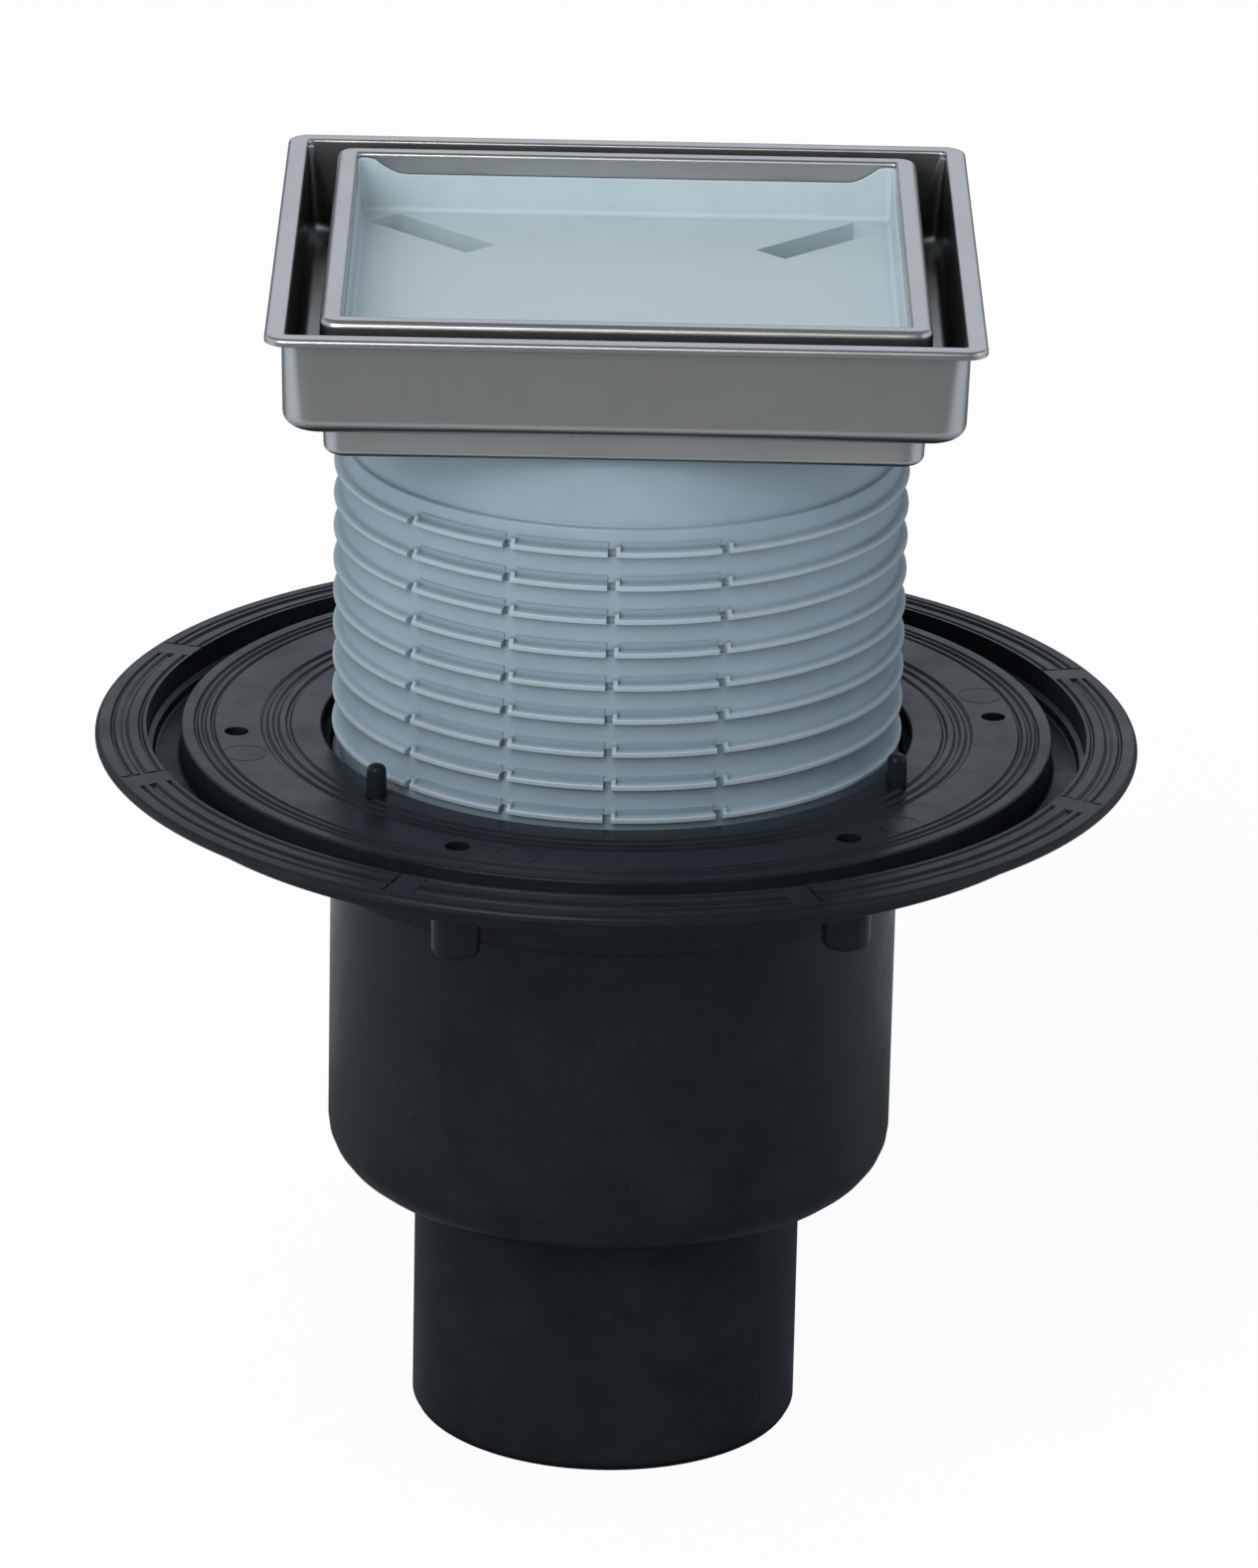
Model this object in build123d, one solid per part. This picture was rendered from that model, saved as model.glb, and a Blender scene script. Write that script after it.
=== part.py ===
"""Floor drain with a vertical outlet, a ribbed height collar, a steel frame and a tile tray.

Millimetres, +Z up. The origin is the centre of the outlet spigot's lower end.
The frame's sides run along X and Y, and the front of the drain faces -Y.
"""
import os
from math import cos, pi, radians, sqrt

from build123d import *

# Outlet spigot and pot
SPIGOT_RADIUS = 37.5
SPIGOT_WALL = 2.6
SPIGOT_CHAMFER = 0.8
SPIGOT_LENGTH = 51.0
POT_STEP = 17.1
POT_WALL = 2.5
POT_HEIGHT = 67.4
POT_FLOOR = 2.8
POT_BOTTOM_ROUND = 9.0

# Socket that takes the collar
LEDGE_WIDTH = 6.5
SOCKET_WALL = 2.6
SOCKET_HEIGHT = 22.0
SOCKET_FLOOR = 2.6
SOCKET_ROUND = 1.2

# Flange, from its mouth outwards
MOUTH_CLEARANCE = 1.8
MOUTH_CHAMFER = 0.5
DISC_WIDTH = 27.1
TROUGH_WIDTH = 6.6
RING_WIDTH = 9.8
FLANGE_THICKNESS = 2.4
FLANGE_EDGE_ROUND = 0.9
TROUGH_DEPTH = 6.0
GROOVE_DEPTH = 0.4
RING_SEGMENTS = 8
RING_GAP_DEG = 3.2
RING_START_DEG = 22.6
RING_MARK_WIDTH = 0.6

# Ring grooves as (distance from an edge, width): outwards from the trough, inwards from it,
# and outwards from the mouth
RING_GROOVES = ((6.4, 0.5), (4.2, 1.3), (0.85, 0.6))
DISC_OUTER_GROOVES = ((3.1, 0.5), (4.3, 0.8), (5.9, 0.5))
DISC_INNER_GROOVES = ((11.2, 1.2), (9.2, 1.0), (6.5, 0.7))

# Screw bosses and pins of the flange
BOSS_COUNT = 6
BOSS_OFFSET = 16.6
BOSS_START_DEG = 6.3
BOSS_RADIUS = 4.4
BOSS_LENGTH = 18.4
BOSS_ROUND = 1.0
BOSS_FLOOR = 3.8
BOSS_HOLE_RADIUS = 2.35
PIN_OFFSET = 4.4
PIN_ANGLES_DEG = (222.3, 330.3, 96.3)
PIN_RADIUS = 1.9
PIN_HEIGHT = 6.7

# Collar
SEAL_ROOM = 4.0
RIB_HEIGHT = 1.65
RIB_PITCH = 6.54
RIB_TOP_SLOPE = 0.9
RIB_LIP_TOP = 0.3
RIB_LIP_BOTTOM = 0.5
RIB_END_MARGIN = 5.0
BAND_HEIGHT = 0.3
BAND_TOP = 1.95
BARREL_WALL = 2.45
COLLAR_HEIGHT = 89.3
COLLAR_CLEARANCE = 0.3
NECK_STEP = 1.35
NECK_WALL = 2.4
NECK_HEIGHT = 12.6
FIRST_RIB_DROP = 4.5
NOTCH_ANGLES_DEG = (222.8, 245.9, 267.2, 290.6)
NOTCH_WIDTH = 1.5
COLLAR_TOP_RING = 3.0

# Lip seal in the socket
SEAL_CLEARANCE = 0.3
SEAL_BACK = 1.3
SEAL_LIP = 1.1
SEAL_LIPS = 4

# Joint of frame and collar
GASKET_THICKNESS = 1.0
GASKET_SETBACK = 0.2
SCREW_COUNT = 4
SCREW_INSET = 4.4
SCREW_EDGE = 2.7
SCREW_RADIUS = 1.6
SCREW_LENGTH = 12.0
SCREW_HEAD_RADIUS = 2.6
SCREW_HEAD_HEIGHT = 1.6
SCREW_SLOT = 0.7
SCREW_BOSS_RADIUS = 3.2
SCREW_BOSS_LENGTH = 14.0
SCREW_CLEARANCE = 0.3
CLAMP_OUTER_EDGE = 0.9
CLAMP_INNER_EDGE = 0.4
CLAMP_HEIGHT = 3.6
CLAMP_LEDGE_WIDTH = 2.3
CLAMP_LEDGE_HEIGHT = 1.4

# Steel frame, from its floor upwards and outwards
SHEET = 0.8
STEP_MARGIN = 2.6
STEP_DRAFT = 0.6
STEP_DEPTH = 6.6
STEP_CORNER = 5.0
STEP_BOTTOM_ROUND = 3.0
BOWL_STEP = 7.4
BOWL_DRAFT = 0.4
BOWL_DEPTH = 19.3
BOWL_TOP_CORNER = 4.0
BOWL_BOTTOM_CORNER = 7.0
BOWL_BOTTOM_ROUND = 6.0
FRAME_RIM_WIDTH = 3.2
FRAME_RIM_CORNER = 4.5
FRAME_RIM_HEIGHT = 1.5
FRAME_RIM_ROUND = 0.6
FRAME_MOUTH_CORNER = 1.0

# Tile tray
TRAY_PROUD = 0.5
TRAY_GAP = 6.6
TRAY_CORNER = 4.0
TRAY_RIM_WIDTH = 4.0
TRAY_SKIRT = 10.0
TRAY_RIM_ROUND = 1.2
TRAY_MOUTH_CORNER = 1.0
TAB_HEIGHT = 4.0
TAB_INSET = 3.0
TAB_END_LENGTH = 6.0
TRAY_FIT = 0.2
TILE_DEPTH = 11.5
INSERT_WALL = 3.5
INSERT_FLOOR = 2.0
INSERT_INNER_CORNER = 3.0
INSERT_FLOOR_ROUND = 1.2
INSERT_BOTTOM_ROUND = 2.0
CHANNEL_WIDTH = 7.7
CHANNEL_LENGTH = 22.8
CHANNEL_MARGIN = 11.63
CHANNEL_WALL = 1.6
WEB_THICKNESS = 2.4
WEB_CLEARANCE = 0.6

# Hair strainer
STRAINER_FIT = 0.3
STRAINER_FLANGE = 1.4
STRAINER_INSET = 1.0
STRAINER_TAPER = 4.6
STRAINER_DEPTH = 20.0
STRAINER_WALL = 1.6
STRAINER_HOLE_RADIUS = 2.2
STRAINER_HOLE_MARGIN = 6.9
STRAINER_RING_PITCH = 9.0
STRAINER_HOLE_PITCH = 9.6
STRAINER_KNOB_RADIUS = 3.5
STRAINER_KNOB_HEIGHT = 12.0

# Trap
PIPE_RADIUS = 22.5
PIPE_WALL = 2.0
PIPE_HEIGHT = 58.2
PLUG_CLEARANCE = 0.3
PLUG_WALL = 4.6
PLUG_LENGTH = 14.0
PLATE_OVERHANG = 5.1
PLATE_THICKNESS = 2.4
CORD_RADIUS = 1.5
CORD_SQUEEZE = 0.1
BELL_ROOM = 14.1
BELL_WALL = 2.0
BELL_GAP = 8.0
BELL_RIM_HEIGHT = 8.2
BELL_ROUND = 4.0
BELL_FINS = 4
BELL_FIN_THICKNESS = 2.0
GRIP_HALF_WIDTH = 13.0
GRIP_HEIGHT = 13.0
GRIP_BAR = 4.0
GRIP_DEPTH = 5.0

# Radii and half widths that follow, from the spigot outwards
SPIGOT_BORE = SPIGOT_RADIUS - SPIGOT_WALL
POT_RADIUS = SPIGOT_RADIUS + POT_STEP
POT_BORE = POT_RADIUS - POT_WALL
SOCKET_BORE = POT_BORE + LEDGE_WIDTH
SOCKET_RADIUS = SOCKET_BORE + SOCKET_WALL
RIB_RADIUS = SOCKET_BORE - SEAL_ROOM
BARREL_RADIUS = RIB_RADIUS - RIB_HEIGHT
NECK_RADIUS = BARREL_RADIUS - NECK_STEP
MOUTH_RADIUS = RIB_RADIUS + MOUTH_CLEARANCE
TROUGH_INNER_RADIUS = MOUTH_RADIUS + DISC_WIDTH
TROUGH_OUTER_RADIUS = TROUGH_INNER_RADIUS + TROUGH_WIDTH
FLANGE_RADIUS = TROUGH_OUTER_RADIUS + RING_WIDTH
BOSS_CIRCLE_RADIUS = MOUTH_RADIUS + BOSS_OFFSET
PIN_CIRCLE_RADIUS = MOUTH_RADIUS + PIN_OFFSET
SCREW_CIRCLE_RADIUS = NECK_RADIUS - SCREW_INSET
SCREW_SEAT_RADIUS = SCREW_HEAD_RADIUS + SCREW_CLEARANCE
COLLAR_TOP_BORE = SCREW_CIRCLE_RADIUS - SCREW_EDGE
CLAMP_RADIUS = SCREW_CIRCLE_RADIUS + SCREW_SEAT_RADIUS + CLAMP_OUTER_EDGE
CLAMP_BORE = SCREW_CIRCLE_RADIUS - SCREW_SEAT_RADIUS - CLAMP_INNER_EDGE
CLAMP_LEDGE_BORE = CLAMP_BORE - CLAMP_LEDGE_WIDTH
STEP_BOTTOM_HALF = NECK_RADIUS + STEP_MARGIN
STEP_TOP_HALF = STEP_BOTTOM_HALF + STEP_DRAFT
BOWL_BOTTOM_HALF = STEP_TOP_HALF + BOWL_STEP
BOWL_TOP_HALF = BOWL_BOTTOM_HALF + BOWL_DRAFT
FRAME_RIM_HALF = BOWL_TOP_HALF + FRAME_RIM_WIDTH
TRAY_HALF = BOWL_TOP_HALF - TRAY_GAP
TRAY_MOUTH_HALF = TRAY_HALF - TRAY_RIM_WIDTH
TAB_HALF_LENGTH = TRAY_MOUTH_HALF - TAB_END_LENGTH - TAB_INSET
INSERT_HALF = TRAY_HALF - SHEET - TRAY_FIT
INSERT_INNER_HALF = INSERT_HALF - INSERT_WALL
CHANNEL_OUTER_END = INSERT_INNER_HALF * sqrt(2) - CHANNEL_MARGIN
CHANNEL_INNER_END = CHANNEL_OUTER_END - CHANNEL_LENGTH
BELL_RADIUS = POT_BORE - BELL_ROOM
PLATE_RADIUS = SPIGOT_BORE + PLATE_OVERHANG

# Heights that follow, from the spigot's end upwards
POT_BOTTOM_Z = SPIGOT_LENGTH
POT_FLOOR_Z = POT_BOTTOM_Z + POT_FLOOR
SOCKET_BOTTOM_Z = POT_BOTTOM_Z + POT_HEIGHT
LEDGE_Z = SOCKET_BOTTOM_Z + SOCKET_FLOOR
FLANGE_TOP_Z = SOCKET_BOTTOM_Z + SOCKET_HEIGHT
FLANGE_UNDER_Z = FLANGE_TOP_Z - FLANGE_THICKNESS
TROUGH_FLOOR_Z = FLANGE_TOP_Z - TROUGH_DEPTH
BOSS_BOTTOM_Z = FLANGE_UNDER_Z - BOSS_LENGTH
COLLAR_BOTTOM_Z = LEDGE_Z + COLLAR_CLEARANCE
COLLAR_TOP_Z = COLLAR_BOTTOM_Z + COLLAR_HEIGHT
NECK_BOTTOM_Z = COLLAR_TOP_Z - NECK_HEIGHT
FIRST_RIB_Z = NECK_BOTTOM_Z - FIRST_RIB_DROP
RIB_COUNT = int((FIRST_RIB_Z - COLLAR_BOTTOM_Z - RIB_END_MARGIN) / RIB_PITCH) + 1
STEP_BOTTOM_Z = COLLAR_TOP_Z + GASKET_THICKNESS
PAN_FLOOR_Z = STEP_BOTTOM_Z + SHEET
BOWL_BOTTOM_Z = STEP_BOTTOM_Z + STEP_DEPTH
FRAME_TOP_Z = BOWL_BOTTOM_Z + BOWL_DEPTH
RIM_PLATE_UNDER_Z = FRAME_TOP_Z - SHEET
CLAMP_TOP_Z = PAN_FLOOR_Z + CLAMP_HEIGHT
STRAINER_SEAT_Z = PAN_FLOOR_Z + CLAMP_LEDGE_HEIGHT
TRAY_TOP_Z = FRAME_TOP_Z + TRAY_PROUD
TRAY_PLATE_UNDER_Z = TRAY_TOP_Z - SHEET
TAB_BOTTOM_Z = TRAY_TOP_Z - TAB_HEIGHT
INSERT_FLOOR_Z = TRAY_TOP_Z - TILE_DEPTH
INSERT_BOTTOM_Z = INSERT_FLOOR_Z - INSERT_FLOOR
PIPE_TOP_Z = POT_FLOOR_Z + PIPE_HEIGHT
BELL_RIM_Z = POT_FLOOR_Z + BELL_RIM_HEIGHT
BELL_TOP_Z = PIPE_TOP_Z + BELL_GAP + BELL_WALL


def spun(points, arc=360.0):
    """Turned solid from (radius, height) points. A third value rounds that corner."""
    face = make_face(Plane.XZ * Polyline(*[point[:2] for point in points], close=True))
    for radius, height, rounding in [point for point in points if len(point) == 3]:
        corner = Vector(radius, 0, height)
        vertex = min(face.vertices(), key=lambda v: (v.center() - corner).length)
        face = fillet(vertex, rounding)
    return revolve(face, Axis.Z, revolution_arc=arc)


def tube(outer, inner, bottom, top):
    """Straight ring between two heights."""
    return spun([(inner, bottom), (outer, bottom), (outer, top), (inner, top)])


def rod(radius, bottom, top, x=0.0, y=0.0):
    """Upright cylinder at a place."""
    height = top - bottom
    return Pos(x, y, bottom) * Cylinder(radius, height, align=(Align.CENTER, Align.CENTER, Align.MIN))


def around(count, radius, start_deg=0.0):
    """Places evenly spaced on a circle, each turned to face outwards."""
    return [Rot(0, 0, start_deg + 360.0 * k / count) * Pos(radius, 0, 0) for k in range(count)]


def square(half, corner, z):
    """Square with rounded corners, lying at a height."""
    return Pos(0, 0, z) * RectangleRounded(2 * half, 2 * half, corner)


def square_block(half, corner, bottom, top):
    """Upright block with a rounded square outline."""
    return extrude(square(half, corner, bottom), top - bottom)


def block(x_size, y_size, bottom, top, x=0.0, y=0.0):
    """Upright block at a place."""
    middle = (bottom + top) / 2
    return Pos(x, y, middle) * Box(x_size, y_size, top - bottom)


def groove(radius, width, arc=360.0):
    """Cutter for a shallow ring groove in the top of the flange."""
    inner = radius - width / 2
    outer = radius + width / 2
    bottom = FLANGE_TOP_Z - GROOVE_DEPTH
    top = FLANGE_TOP_Z + 1
    return spun([(inner, bottom), (outer, bottom), (outer, top), (inner, top)], arc=arc)


def flange_and_pot():
    """Turned part of the body, from the spigot's end to the flange's edge."""
    trough_under = TROUGH_FLOOR_Z - FLANGE_THICKNESS
    trough_wall = FLANGE_THICKNESS
    points = [
        (SPIGOT_BORE, 0),
        (SPIGOT_RADIUS - SPIGOT_CHAMFER, 0),
        (SPIGOT_RADIUS, 2 * SPIGOT_CHAMFER),
        (SPIGOT_RADIUS, POT_BOTTOM_Z),
        (POT_RADIUS, POT_BOTTOM_Z, POT_BOTTOM_ROUND),
        (POT_RADIUS, SOCKET_BOTTOM_Z),
        (SOCKET_RADIUS, SOCKET_BOTTOM_Z, SOCKET_ROUND),
        (SOCKET_RADIUS, FLANGE_UNDER_Z),
        (TROUGH_INNER_RADIUS - trough_wall, FLANGE_UNDER_Z),
        (TROUGH_INNER_RADIUS - trough_wall, trough_under),
        (TROUGH_OUTER_RADIUS + trough_wall, trough_under),
        (TROUGH_OUTER_RADIUS + trough_wall, FLANGE_UNDER_Z),
        (FLANGE_RADIUS, FLANGE_UNDER_Z, FLANGE_EDGE_ROUND),
        (FLANGE_RADIUS, FLANGE_TOP_Z, FLANGE_EDGE_ROUND),
        (TROUGH_OUTER_RADIUS, FLANGE_TOP_Z),
        (TROUGH_OUTER_RADIUS, TROUGH_FLOOR_Z),
        (TROUGH_INNER_RADIUS, TROUGH_FLOOR_Z),
        (TROUGH_INNER_RADIUS, FLANGE_TOP_Z),
        (MOUTH_RADIUS + MOUTH_CHAMFER, FLANGE_TOP_Z),
        (MOUTH_RADIUS, FLANGE_TOP_Z - MOUTH_CHAMFER),
        (MOUTH_RADIUS, FLANGE_UNDER_Z),
        (SOCKET_BORE, FLANGE_UNDER_Z),
        (SOCKET_BORE, LEDGE_Z),
        (POT_BORE, LEDGE_Z),
        (POT_BORE, POT_FLOOR_Z, POT_BOTTOM_ROUND - POT_WALL),
        (SPIGOT_BORE, POT_FLOOR_Z),
    ]
    return spun(points)


def ring_groove_cutters():
    """Grooves of the outer ring, broken into arcs, with a short radial line at each gap's rear side."""
    pitch = 360.0 / RING_SEGMENTS
    arc = pitch - RING_GAP_DEG
    places = [(TROUGH_OUTER_RADIUS + offset, width) for offset, width in RING_GROOVES]
    outer = places[0][0]
    inner = places[-1][0]
    mark_bottom = FLANGE_TOP_Z - GROOVE_DEPTH
    mark = block(outer - inner, RING_MARK_WIDTH, mark_bottom, FLANGE_TOP_Z + 1, (inner + outer) / 2)
    cutters = []
    for k in range(RING_SEGMENTS):
        start = RING_START_DEG + k * pitch
        cutters += [Rot(0, 0, start) * groove(radius, width, arc) for radius, width in places]
        on_right = cos(radians(start)) > 0
        rear = start if on_right else start - RING_GAP_DEG
        cutters.append(Rot(0, 0, rear) * mark)
    return cutters


def disc_groove_cutters():
    """Grooves of the inner disc, near the trough and near the mouth."""
    near_trough = [groove(TROUGH_INNER_RADIUS - offset, width) for offset, width in DISC_OUTER_GROOVES]
    near_mouth = [groove(MOUTH_RADIUS + offset, width) for offset, width in DISC_INNER_GROOVES]
    return near_trough + near_mouth


def screw_boss():
    """Boss under the flange for one screw, centred on the origin's axis."""
    return spun([
        (0, BOSS_BOTTOM_Z),
        (BOSS_RADIUS, BOSS_BOTTOM_Z, BOSS_ROUND),
        (BOSS_RADIUS, FLANGE_UNDER_Z),
        (0, FLANGE_UNDER_Z),
    ])


def flange_pin():
    """Domed pin that stands on the flange, centred on the origin's axis."""
    top = FLANGE_TOP_Z + PIN_HEIGHT
    bottom = FLANGE_TOP_Z - FLANGE_THICKNESS / 2
    return spun([(0, bottom), (PIN_RADIUS, bottom), (PIN_RADIUS, top, PIN_RADIUS * 0.6), (0, top)])


def drain_body():
    """Black moulding with flange, socket, pot and spigot."""
    body = flange_and_pot()
    boss_places = around(BOSS_COUNT, BOSS_CIRCLE_RADIUS, BOSS_START_DEG)
    body += [place * screw_boss() for place in boss_places]
    body += [Rot(0, 0, angle) * Pos(PIN_CIRCLE_RADIUS, 0, 0) * flange_pin() for angle in PIN_ANGLES_DEG]
    body -= disc_groove_cutters()
    body -= ring_groove_cutters()
    hole = rod(BOSS_HOLE_RADIUS, BOSS_BOTTOM_Z + BOSS_FLOOR, FLANGE_TOP_Z + 1)
    body -= [place * hole for place in boss_places]
    return body


def lip_seal():
    """Rubber ring in the socket with lips that grip the collar's ribs."""
    outer = SOCKET_BORE - SEAL_CLEARANCE
    inner = RIB_RADIUS + SEAL_CLEARANCE
    back = outer - SEAL_BACK
    top = FLANGE_UNDER_Z - SEAL_CLEARANCE
    bottom = LEDGE_Z + SEAL_CLEARANCE
    points = [(outer, top), (outer, bottom), (back, bottom)]
    step = (top - bottom) / SEAL_LIPS
    for k in range(SEAL_LIPS):
        low = bottom + k * step
        points += [(back, low + step - SEAL_LIP), (inner, low + step - SEAL_LIP / 2), (back, low + step)]
    return spun(points[:-1] + [(back, top)])


def rib_outline():
    """Outer outline of the collar from the neck down, with a lip for each rib."""
    points = [(NECK_RADIUS, COLLAR_TOP_Z), (NECK_RADIUS, NECK_BOTTOM_Z), (BARREL_RADIUS, NECK_BOTTOM_Z)]
    for k in range(RIB_COUNT):
        z = FIRST_RIB_Z - k * RIB_PITCH
        points += [
            (BARREL_RADIUS, z + RIB_TOP_SLOPE),
            (RIB_RADIUS, z + RIB_LIP_TOP),
            (RIB_RADIUS, z - RIB_LIP_BOTTOM),
            (BARREL_RADIUS, z - RIB_TOP_SLOPE),
        ]
    points.append((BARREL_RADIUS, COLLAR_BOTTOM_Z))
    return points


def rib_bands():
    """Low bands over the ribs between the first and the last row of notches."""
    first = NOTCH_ANGLES_DEG[0]
    arc = NOTCH_ANGLES_DEG[-1] - first
    inner = BARREL_RADIUS - BARREL_WALL / 2
    outer = BARREL_RADIUS + BAND_HEIGHT
    bands = []
    for k in range(RIB_COUNT):
        z = FIRST_RIB_Z - k * RIB_PITCH
        section = [(inner, z), (outer, z), (outer, z + BAND_TOP), (inner, z + BAND_TOP)]
        bands.append(Rot(0, 0, first) * spun(section, arc))
    return bands


def extension_collar():
    """Grey collar: neck, ribbed barrel, inner ring and screw bosses at the top."""
    barrel_bore = BARREL_RADIUS - BARREL_WALL
    neck_bore = NECK_RADIUS - NECK_WALL
    ring_under = COLLAR_TOP_Z - COLLAR_TOP_RING
    inner = [
        (barrel_bore, COLLAR_BOTTOM_Z),
        (barrel_bore, NECK_BOTTOM_Z - BARREL_WALL),
        (neck_bore, NECK_BOTTOM_Z + NECK_WALL),
        (neck_bore, ring_under),
        (COLLAR_TOP_BORE, ring_under),
        (COLLAR_TOP_BORE, COLLAR_TOP_Z),
    ]
    collar = spun(rib_outline() + inner)
    collar += rib_bands()
    boss_bottom = COLLAR_TOP_Z - SCREW_BOSS_LENGTH
    boss = rod(SCREW_BOSS_RADIUS, boss_bottom, COLLAR_TOP_Z - COLLAR_TOP_RING / 2)
    hole = rod(SCREW_RADIUS, COLLAR_TOP_Z - SCREW_LENGTH, COLLAR_TOP_Z + 1)
    places = around(SCREW_COUNT, SCREW_CIRCLE_RADIUS)
    collar += [place * boss for place in places]
    collar -= [place * hole for place in places]
    depth = RIB_RADIUS - BARREL_RADIUS
    low = COLLAR_BOTTOM_Z - 1
    high = FIRST_RIB_Z + BAND_TOP + (NECK_BOTTOM_Z - FIRST_RIB_Z - BAND_TOP) / 2
    notch = block(2 * depth, NOTCH_WIDTH, low, high, BARREL_RADIUS + depth)
    collar -= [Rot(0, 0, angle) * notch for angle in NOTCH_ANGLES_DEG]
    return collar


def frame_gasket():
    """Flat rubber ring on the collar's top."""
    inner = COLLAR_TOP_BORE + GASKET_SETBACK
    outer = NECK_RADIUS - GASKET_SETBACK
    gasket = tube(outer, inner, COLLAR_TOP_Z, STEP_BOTTOM_Z)
    hole = rod(SCREW_RADIUS + SCREW_CLEARANCE, COLLAR_TOP_Z - 1, STEP_BOTTOM_Z + 1)
    gasket -= [place * hole for place in around(SCREW_COUNT, SCREW_CIRCLE_RADIUS)]
    return gasket


def drawn_pan(inset, top):
    """Solid of the frame's bowl and step, drawn in from all sides by an inset."""
    bowl_bottom = BOWL_BOTTOM_Z + inset
    lower = square(BOWL_BOTTOM_HALF - inset, BOWL_BOTTOM_CORNER - inset, bowl_bottom)
    upper = square(BOWL_TOP_HALF - inset, BOWL_TOP_CORNER - inset, top)
    bowl = loft([lower, upper])
    bowl = fillet(bowl.faces().sort_by(Axis.Z)[0].edges(), BOWL_BOTTOM_ROUND - inset)
    step_bottom = STEP_BOTTOM_Z + inset
    step_top = BOWL_BOTTOM_Z + SHEET
    narrow = square(STEP_BOTTOM_HALF - inset, STEP_CORNER - inset, step_bottom)
    wide = square(STEP_TOP_HALF - inset, STEP_CORNER - inset, step_top)
    step = loft([narrow, wide])
    step = fillet(step.faces().sort_by(Axis.Z)[0].edges(), STEP_BOTTOM_ROUND - inset)
    return bowl + step


def steel_frame():
    """Deep-drawn stainless pan with a turned-down rim."""
    pan = drawn_pan(0, RIM_PLATE_UNDER_Z) - drawn_pan(SHEET, RIM_PLATE_UNDER_Z)
    rim_bottom = FRAME_TOP_Z - FRAME_RIM_HEIGHT
    rim = square_block(FRAME_RIM_HALF, FRAME_RIM_CORNER, rim_bottom, FRAME_TOP_Z)
    rim = fillet(rim.faces().sort_by(Axis.Z)[-1].edges(), FRAME_RIM_ROUND)
    under_half = FRAME_RIM_HALF - SHEET
    rim -= square_block(under_half, FRAME_RIM_CORNER - SHEET, rim_bottom, RIM_PLATE_UNDER_Z)
    mouth_half = BOWL_TOP_HALF - SHEET
    rim -= square_block(mouth_half, FRAME_MOUTH_CORNER, rim_bottom, FRAME_TOP_Z + 1)
    frame = pan + rim
    frame -= rod(COLLAR_TOP_BORE, STEP_BOTTOM_Z - 1, PAN_FLOOR_Z + 1)
    hole = rod(SCREW_RADIUS + SCREW_CLEARANCE, STEP_BOTTOM_Z - 1, PAN_FLOOR_Z + 1)
    frame -= [place * hole for place in around(SCREW_COUNT, SCREW_CIRCLE_RADIUS)]
    return frame


def frame_clamp_ring():
    """Plastic ring that clamps the frame's floor, with a ledge for the strainer."""
    ring = spun([
        (CLAMP_LEDGE_BORE, PAN_FLOOR_Z),
        (CLAMP_RADIUS, PAN_FLOOR_Z),
        (CLAMP_RADIUS, CLAMP_TOP_Z),
        (CLAMP_BORE, CLAMP_TOP_Z),
        (CLAMP_BORE, STRAINER_SEAT_Z),
        (CLAMP_LEDGE_BORE, STRAINER_SEAT_Z),
    ])
    hole = rod(SCREW_RADIUS + SCREW_CLEARANCE, PAN_FLOOR_Z - 1, CLAMP_TOP_Z + 1)
    seat = rod(SCREW_SEAT_RADIUS, CLAMP_TOP_Z - SCREW_HEAD_HEIGHT, CLAMP_TOP_Z + 1)
    ring -= [place * hole for place in around(SCREW_COUNT, SCREW_CIRCLE_RADIUS)]
    ring -= [place * seat for place in around(SCREW_COUNT, SCREW_CIRCLE_RADIUS)]
    return ring


def clamp_ring_screws():
    """Four slotted screws, heads sunk level with the ring's top."""
    tip = COLLAR_TOP_Z - SCREW_LENGTH + SCREW_CLEARANCE
    under_head = CLAMP_TOP_Z - SCREW_HEAD_HEIGHT
    screw = rod(SCREW_RADIUS, tip, under_head)
    screw += rod(SCREW_HEAD_RADIUS, under_head, CLAMP_TOP_Z)
    slot_length = 2 * SCREW_HEAD_RADIUS + 1
    screw -= block(slot_length, SCREW_SLOT, CLAMP_TOP_Z - SCREW_SLOT, CLAMP_TOP_Z + 1)
    return [place * screw for place in around(SCREW_COUNT, SCREW_CIRCLE_RADIUS)]


def tab_outline(bottom, half_length):
    """Side view of one inner tab: straight lower edge that curves up to the rim at both ends."""
    end = half_length + TAB_END_LENGTH
    top = TRAY_PLATE_UNDER_Z
    left = Bezier((-end, top), (-end, bottom), (-half_length, bottom))
    lower = Line((-half_length, bottom), (half_length, bottom))
    right = Bezier((half_length, bottom), (end, bottom), (end, top))
    upper = Line((end, top), (-end, top))
    return make_face(left + lower + right + upper)


def side_slab(face, outer, inner):
    """Slab of a side view between two distances from the middle, on the -Y side."""
    place = Plane(origin=(0, -outer, 0), x_dir=(1, 0, 0), z_dir=(0, -1, 0))
    return extrude(place * face, -(outer - inner))


def quarter_turns(shape):
    """The shape on all four sides."""
    return [Rot(0, 0, 90 * k) * shape for k in range(4)]


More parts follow.
